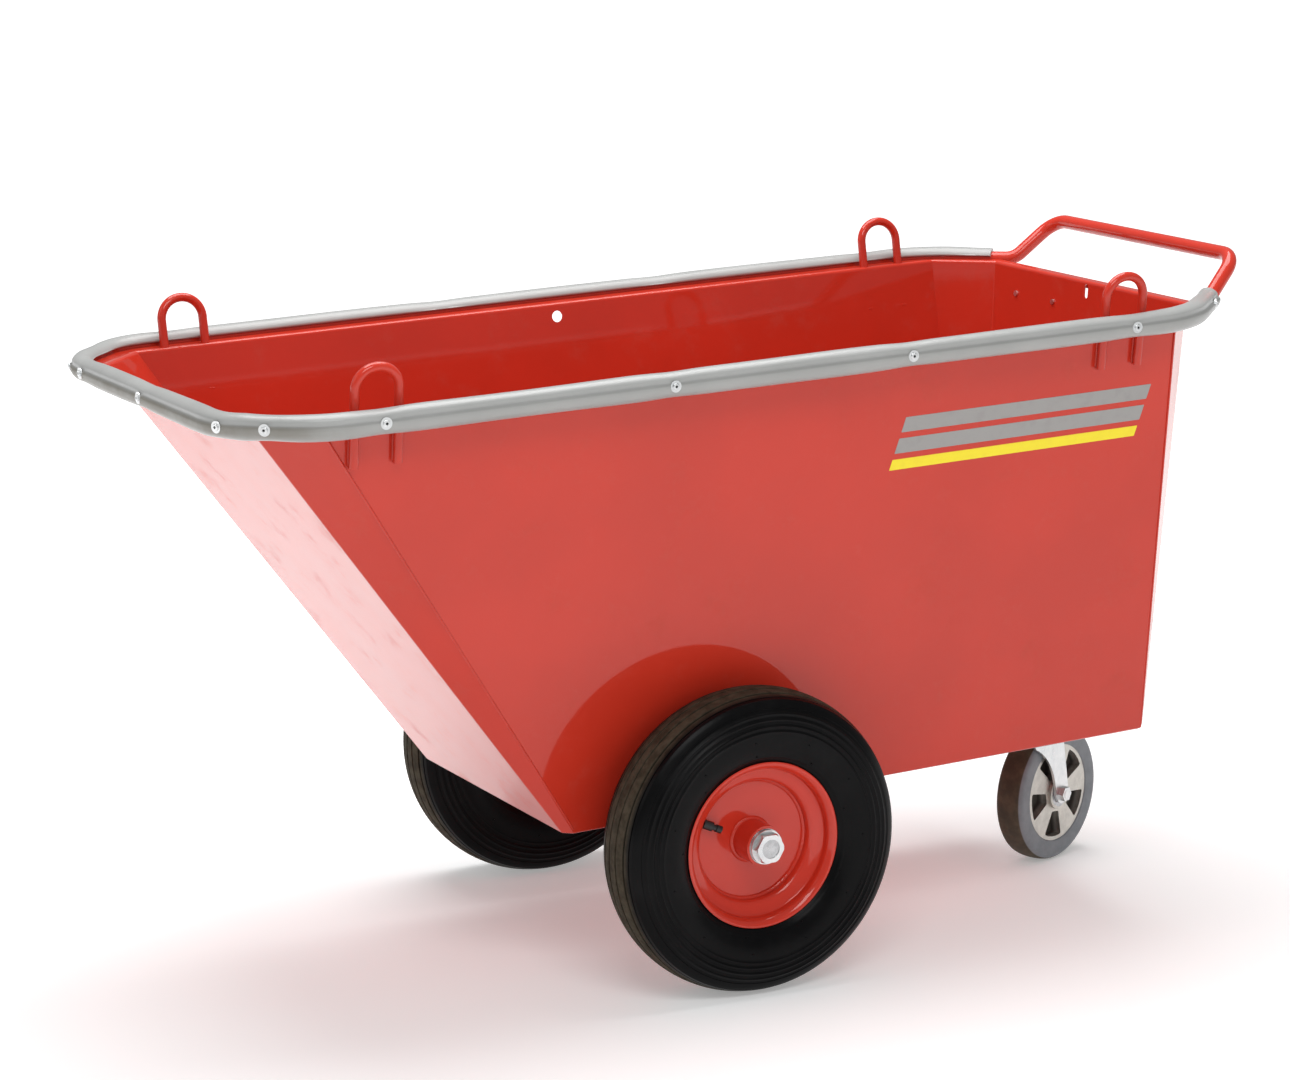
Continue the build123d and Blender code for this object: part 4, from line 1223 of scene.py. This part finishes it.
# %% Spin the caster tyre
tread_side = through([(70.6, 20.0), (72.0, 21.2), (76.0, 21.6), (84.0, 22.0), (90.0, 21.9), (94.2, 20.6),
                      (97.2, 17.6), (98.8, 13.2), (99.7, 7.0), (100.0, 0.0)], 6)
caster_outline = tread_side + [(r, -y) for r, y in tread_side[-2::-1]]
caster_tyre = spin("caster_tyre", caster_outline, CASTER_CENTRE, CASTER_AXIS, CASTER_RUBBER, "caster_wheel",
                   "grey_tread", 144, 40)
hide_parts("caster_tread")
print("caster outline has", len(caster_outline), "points")

# %% [markdown]
# ## Finishes for the parts kept from CAD
#
# The bent tube, the loops, the axle, the fork and all the fasteners are already the right shape. They only
# need their finish, by the slot that the record names.

# %% Hand the finishes out
by_slot = {"red_paint": RED, "zinc_plate": ZINC, "plate_aluminium": PLATE, "tube_rubber": TUBE_RUBBER,
           "black_rubber": VALVE_RUBBER, "cast_aluminium": CAST, "bearing_steel": STEEL,
           "bumper_rubber": GREY_RUBBER, "tyre_rubber": TYRE_RUBBER, "grey_tread": CASTER_RUBBER}
for node in nodes.values():
    for held in node.material_slots:
        slot_name = held.material.name.split(".")[0]
        held.material = by_slot[slot_name].material
print("slots used:", sorted(by_slot))

# %% [markdown]
# ## Floor, light and camera
#
# The cart stands on a plain pale floor that runs on to the horizon. The red paint is a mirror at grazing
# angles, so much of what is seen on the walls is the floor's own brightness: a bright floor matters more
# than any lamp. The floor glows a little by itself, more behind the cart and further away, as a lit white
# sweep does. Large soft panels above and beside the cart do the modelling. The one at the side stays out of
# reflections, or it would show as a pale band on the far inner wall.

# %% Lay the floor
def floor_finish():
    finish = Finish("pale_floor", Roughness=0.6, Specular_IOR_Level=0.1, Emission_Strength=1.0)
    pale = mix(finish, noise(finish, 0.8, 3), (0.85, 0.85, 0.85), (0.88, 0.88, 0.88))
    finish.feed("Base Color", pale)
    behind = step(finish, dot(finish, place(finish), (0, 1, 0)), 0.0, 1.2)
    away = step(finish, how_far(finish, place(finish)), 1.9, 3.2)
    glow = 0.27 + behind * 0.38 + away * 0.35
    finish.feed("Emission Color", mix(finish, glow, (0.0, 0.0, 0.0), (1.0, 1.0, 1.0)))
    return finish


floor_mesh = bpy.data.meshes.new("floor")
FLOOR_HALF = 300.0
corners = [(x * FLOOR_HALF, y * FLOOR_HALF, 0) for x, y in ((-1, -1), (1, -1), (1, 1), (-1, 1))]
floor_mesh.from_pydata(corners, [], [(0, 1, 2, 3)])
floor = bpy.data.objects.new("floor", floor_mesh)
bpy.context.scene.collection.objects.link(floor)
floor.data.materials.append(floor_finish().material)
print("floor is", 2 * FLOOR_HALF, "m across")

# %% Light it softly
def panel_light(name, at, aim, size, power, mirrored=True):
    lamp = bpy.data.lights.new(name, "AREA")
    lamp.shape, lamp.size, lamp.size_y, lamp.energy = "RECTANGLE", size[0], size[1], power
    thing = bpy.data.objects.new(name, lamp)
    thing.location, thing.visible_glossy = at, mirrored
    thing.rotation_euler = (Vector(aim) - Vector(at)).to_track_quat("-Z", "Y").to_euler()
    bpy.context.scene.collection.objects.link(thing)


panel_light("top_panel", (0.1, 0.5, 3.4), (0, 0, 0.5), (3.0, 2.2), 112)
panel_light("near_panel", (-1.2, -2.9, 3.3), (0, 0, 0.4), (2.2, 1.4), 48)
panel_light("side_panel", (0.2, -3.4, 1.2), (0, 0, 0.4), (2.6, 1.2), 12, mirrored=False)
panel_light("nose_panel", (-3.4, 0.4, 2.2), (0, 0, 0.4), (1.6, 1.8), 8)
world = bpy.data.worlds.new("surround")
bpy.context.scene.world = world
world.use_nodes = True
world.node_tree.nodes["Background"].inputs["Color"].default_value = (1, 1, 1, 1)
world.node_tree.nodes["Background"].inputs["Strength"].default_value = 0.30
bpy.context.scene.view_settings.view_transform = "Standard"
bpy.context.scene.view_settings.look = "None"

# %% Stand the camera
def look(at, yaw, pitch, roll, lens):
    """Yaw is from +Y towards +X, pitch is upwards, roll is clockwise; angles in degrees."""
    yaw, pitch, roll = (math.radians(v) for v in (yaw, pitch, roll))
    ahead = Vector((math.sin(yaw) * math.cos(pitch), math.cos(yaw) * math.cos(pitch), math.sin(pitch)))
    right = ahead.cross(Vector((0, 0, 1))).normalized()
    top = right.cross(ahead)
    right, top = (right * math.cos(roll) + top * math.sin(roll),
                  top * math.cos(roll) - right * math.sin(roll))
    data = bpy.data.cameras.new("camera")
    data.lens, data.sensor_width, data.sensor_fit = lens, 36.0, "HORIZONTAL"
    camera = bpy.data.objects.new("camera", data)
    camera.matrix_world = Matrix.Translation(at) @ Matrix((right, top, -ahead)).transposed().to_4x4()
    bpy.context.scene.collection.objects.link(camera)
    bpy.context.scene.camera = camera
    return camera


camera = look((-2.4289, -4.4441, 1.5871), 28.25, -11.786, 0.431, 107.33)
print("camera looks from", [round(v, 3) for v in camera.location])
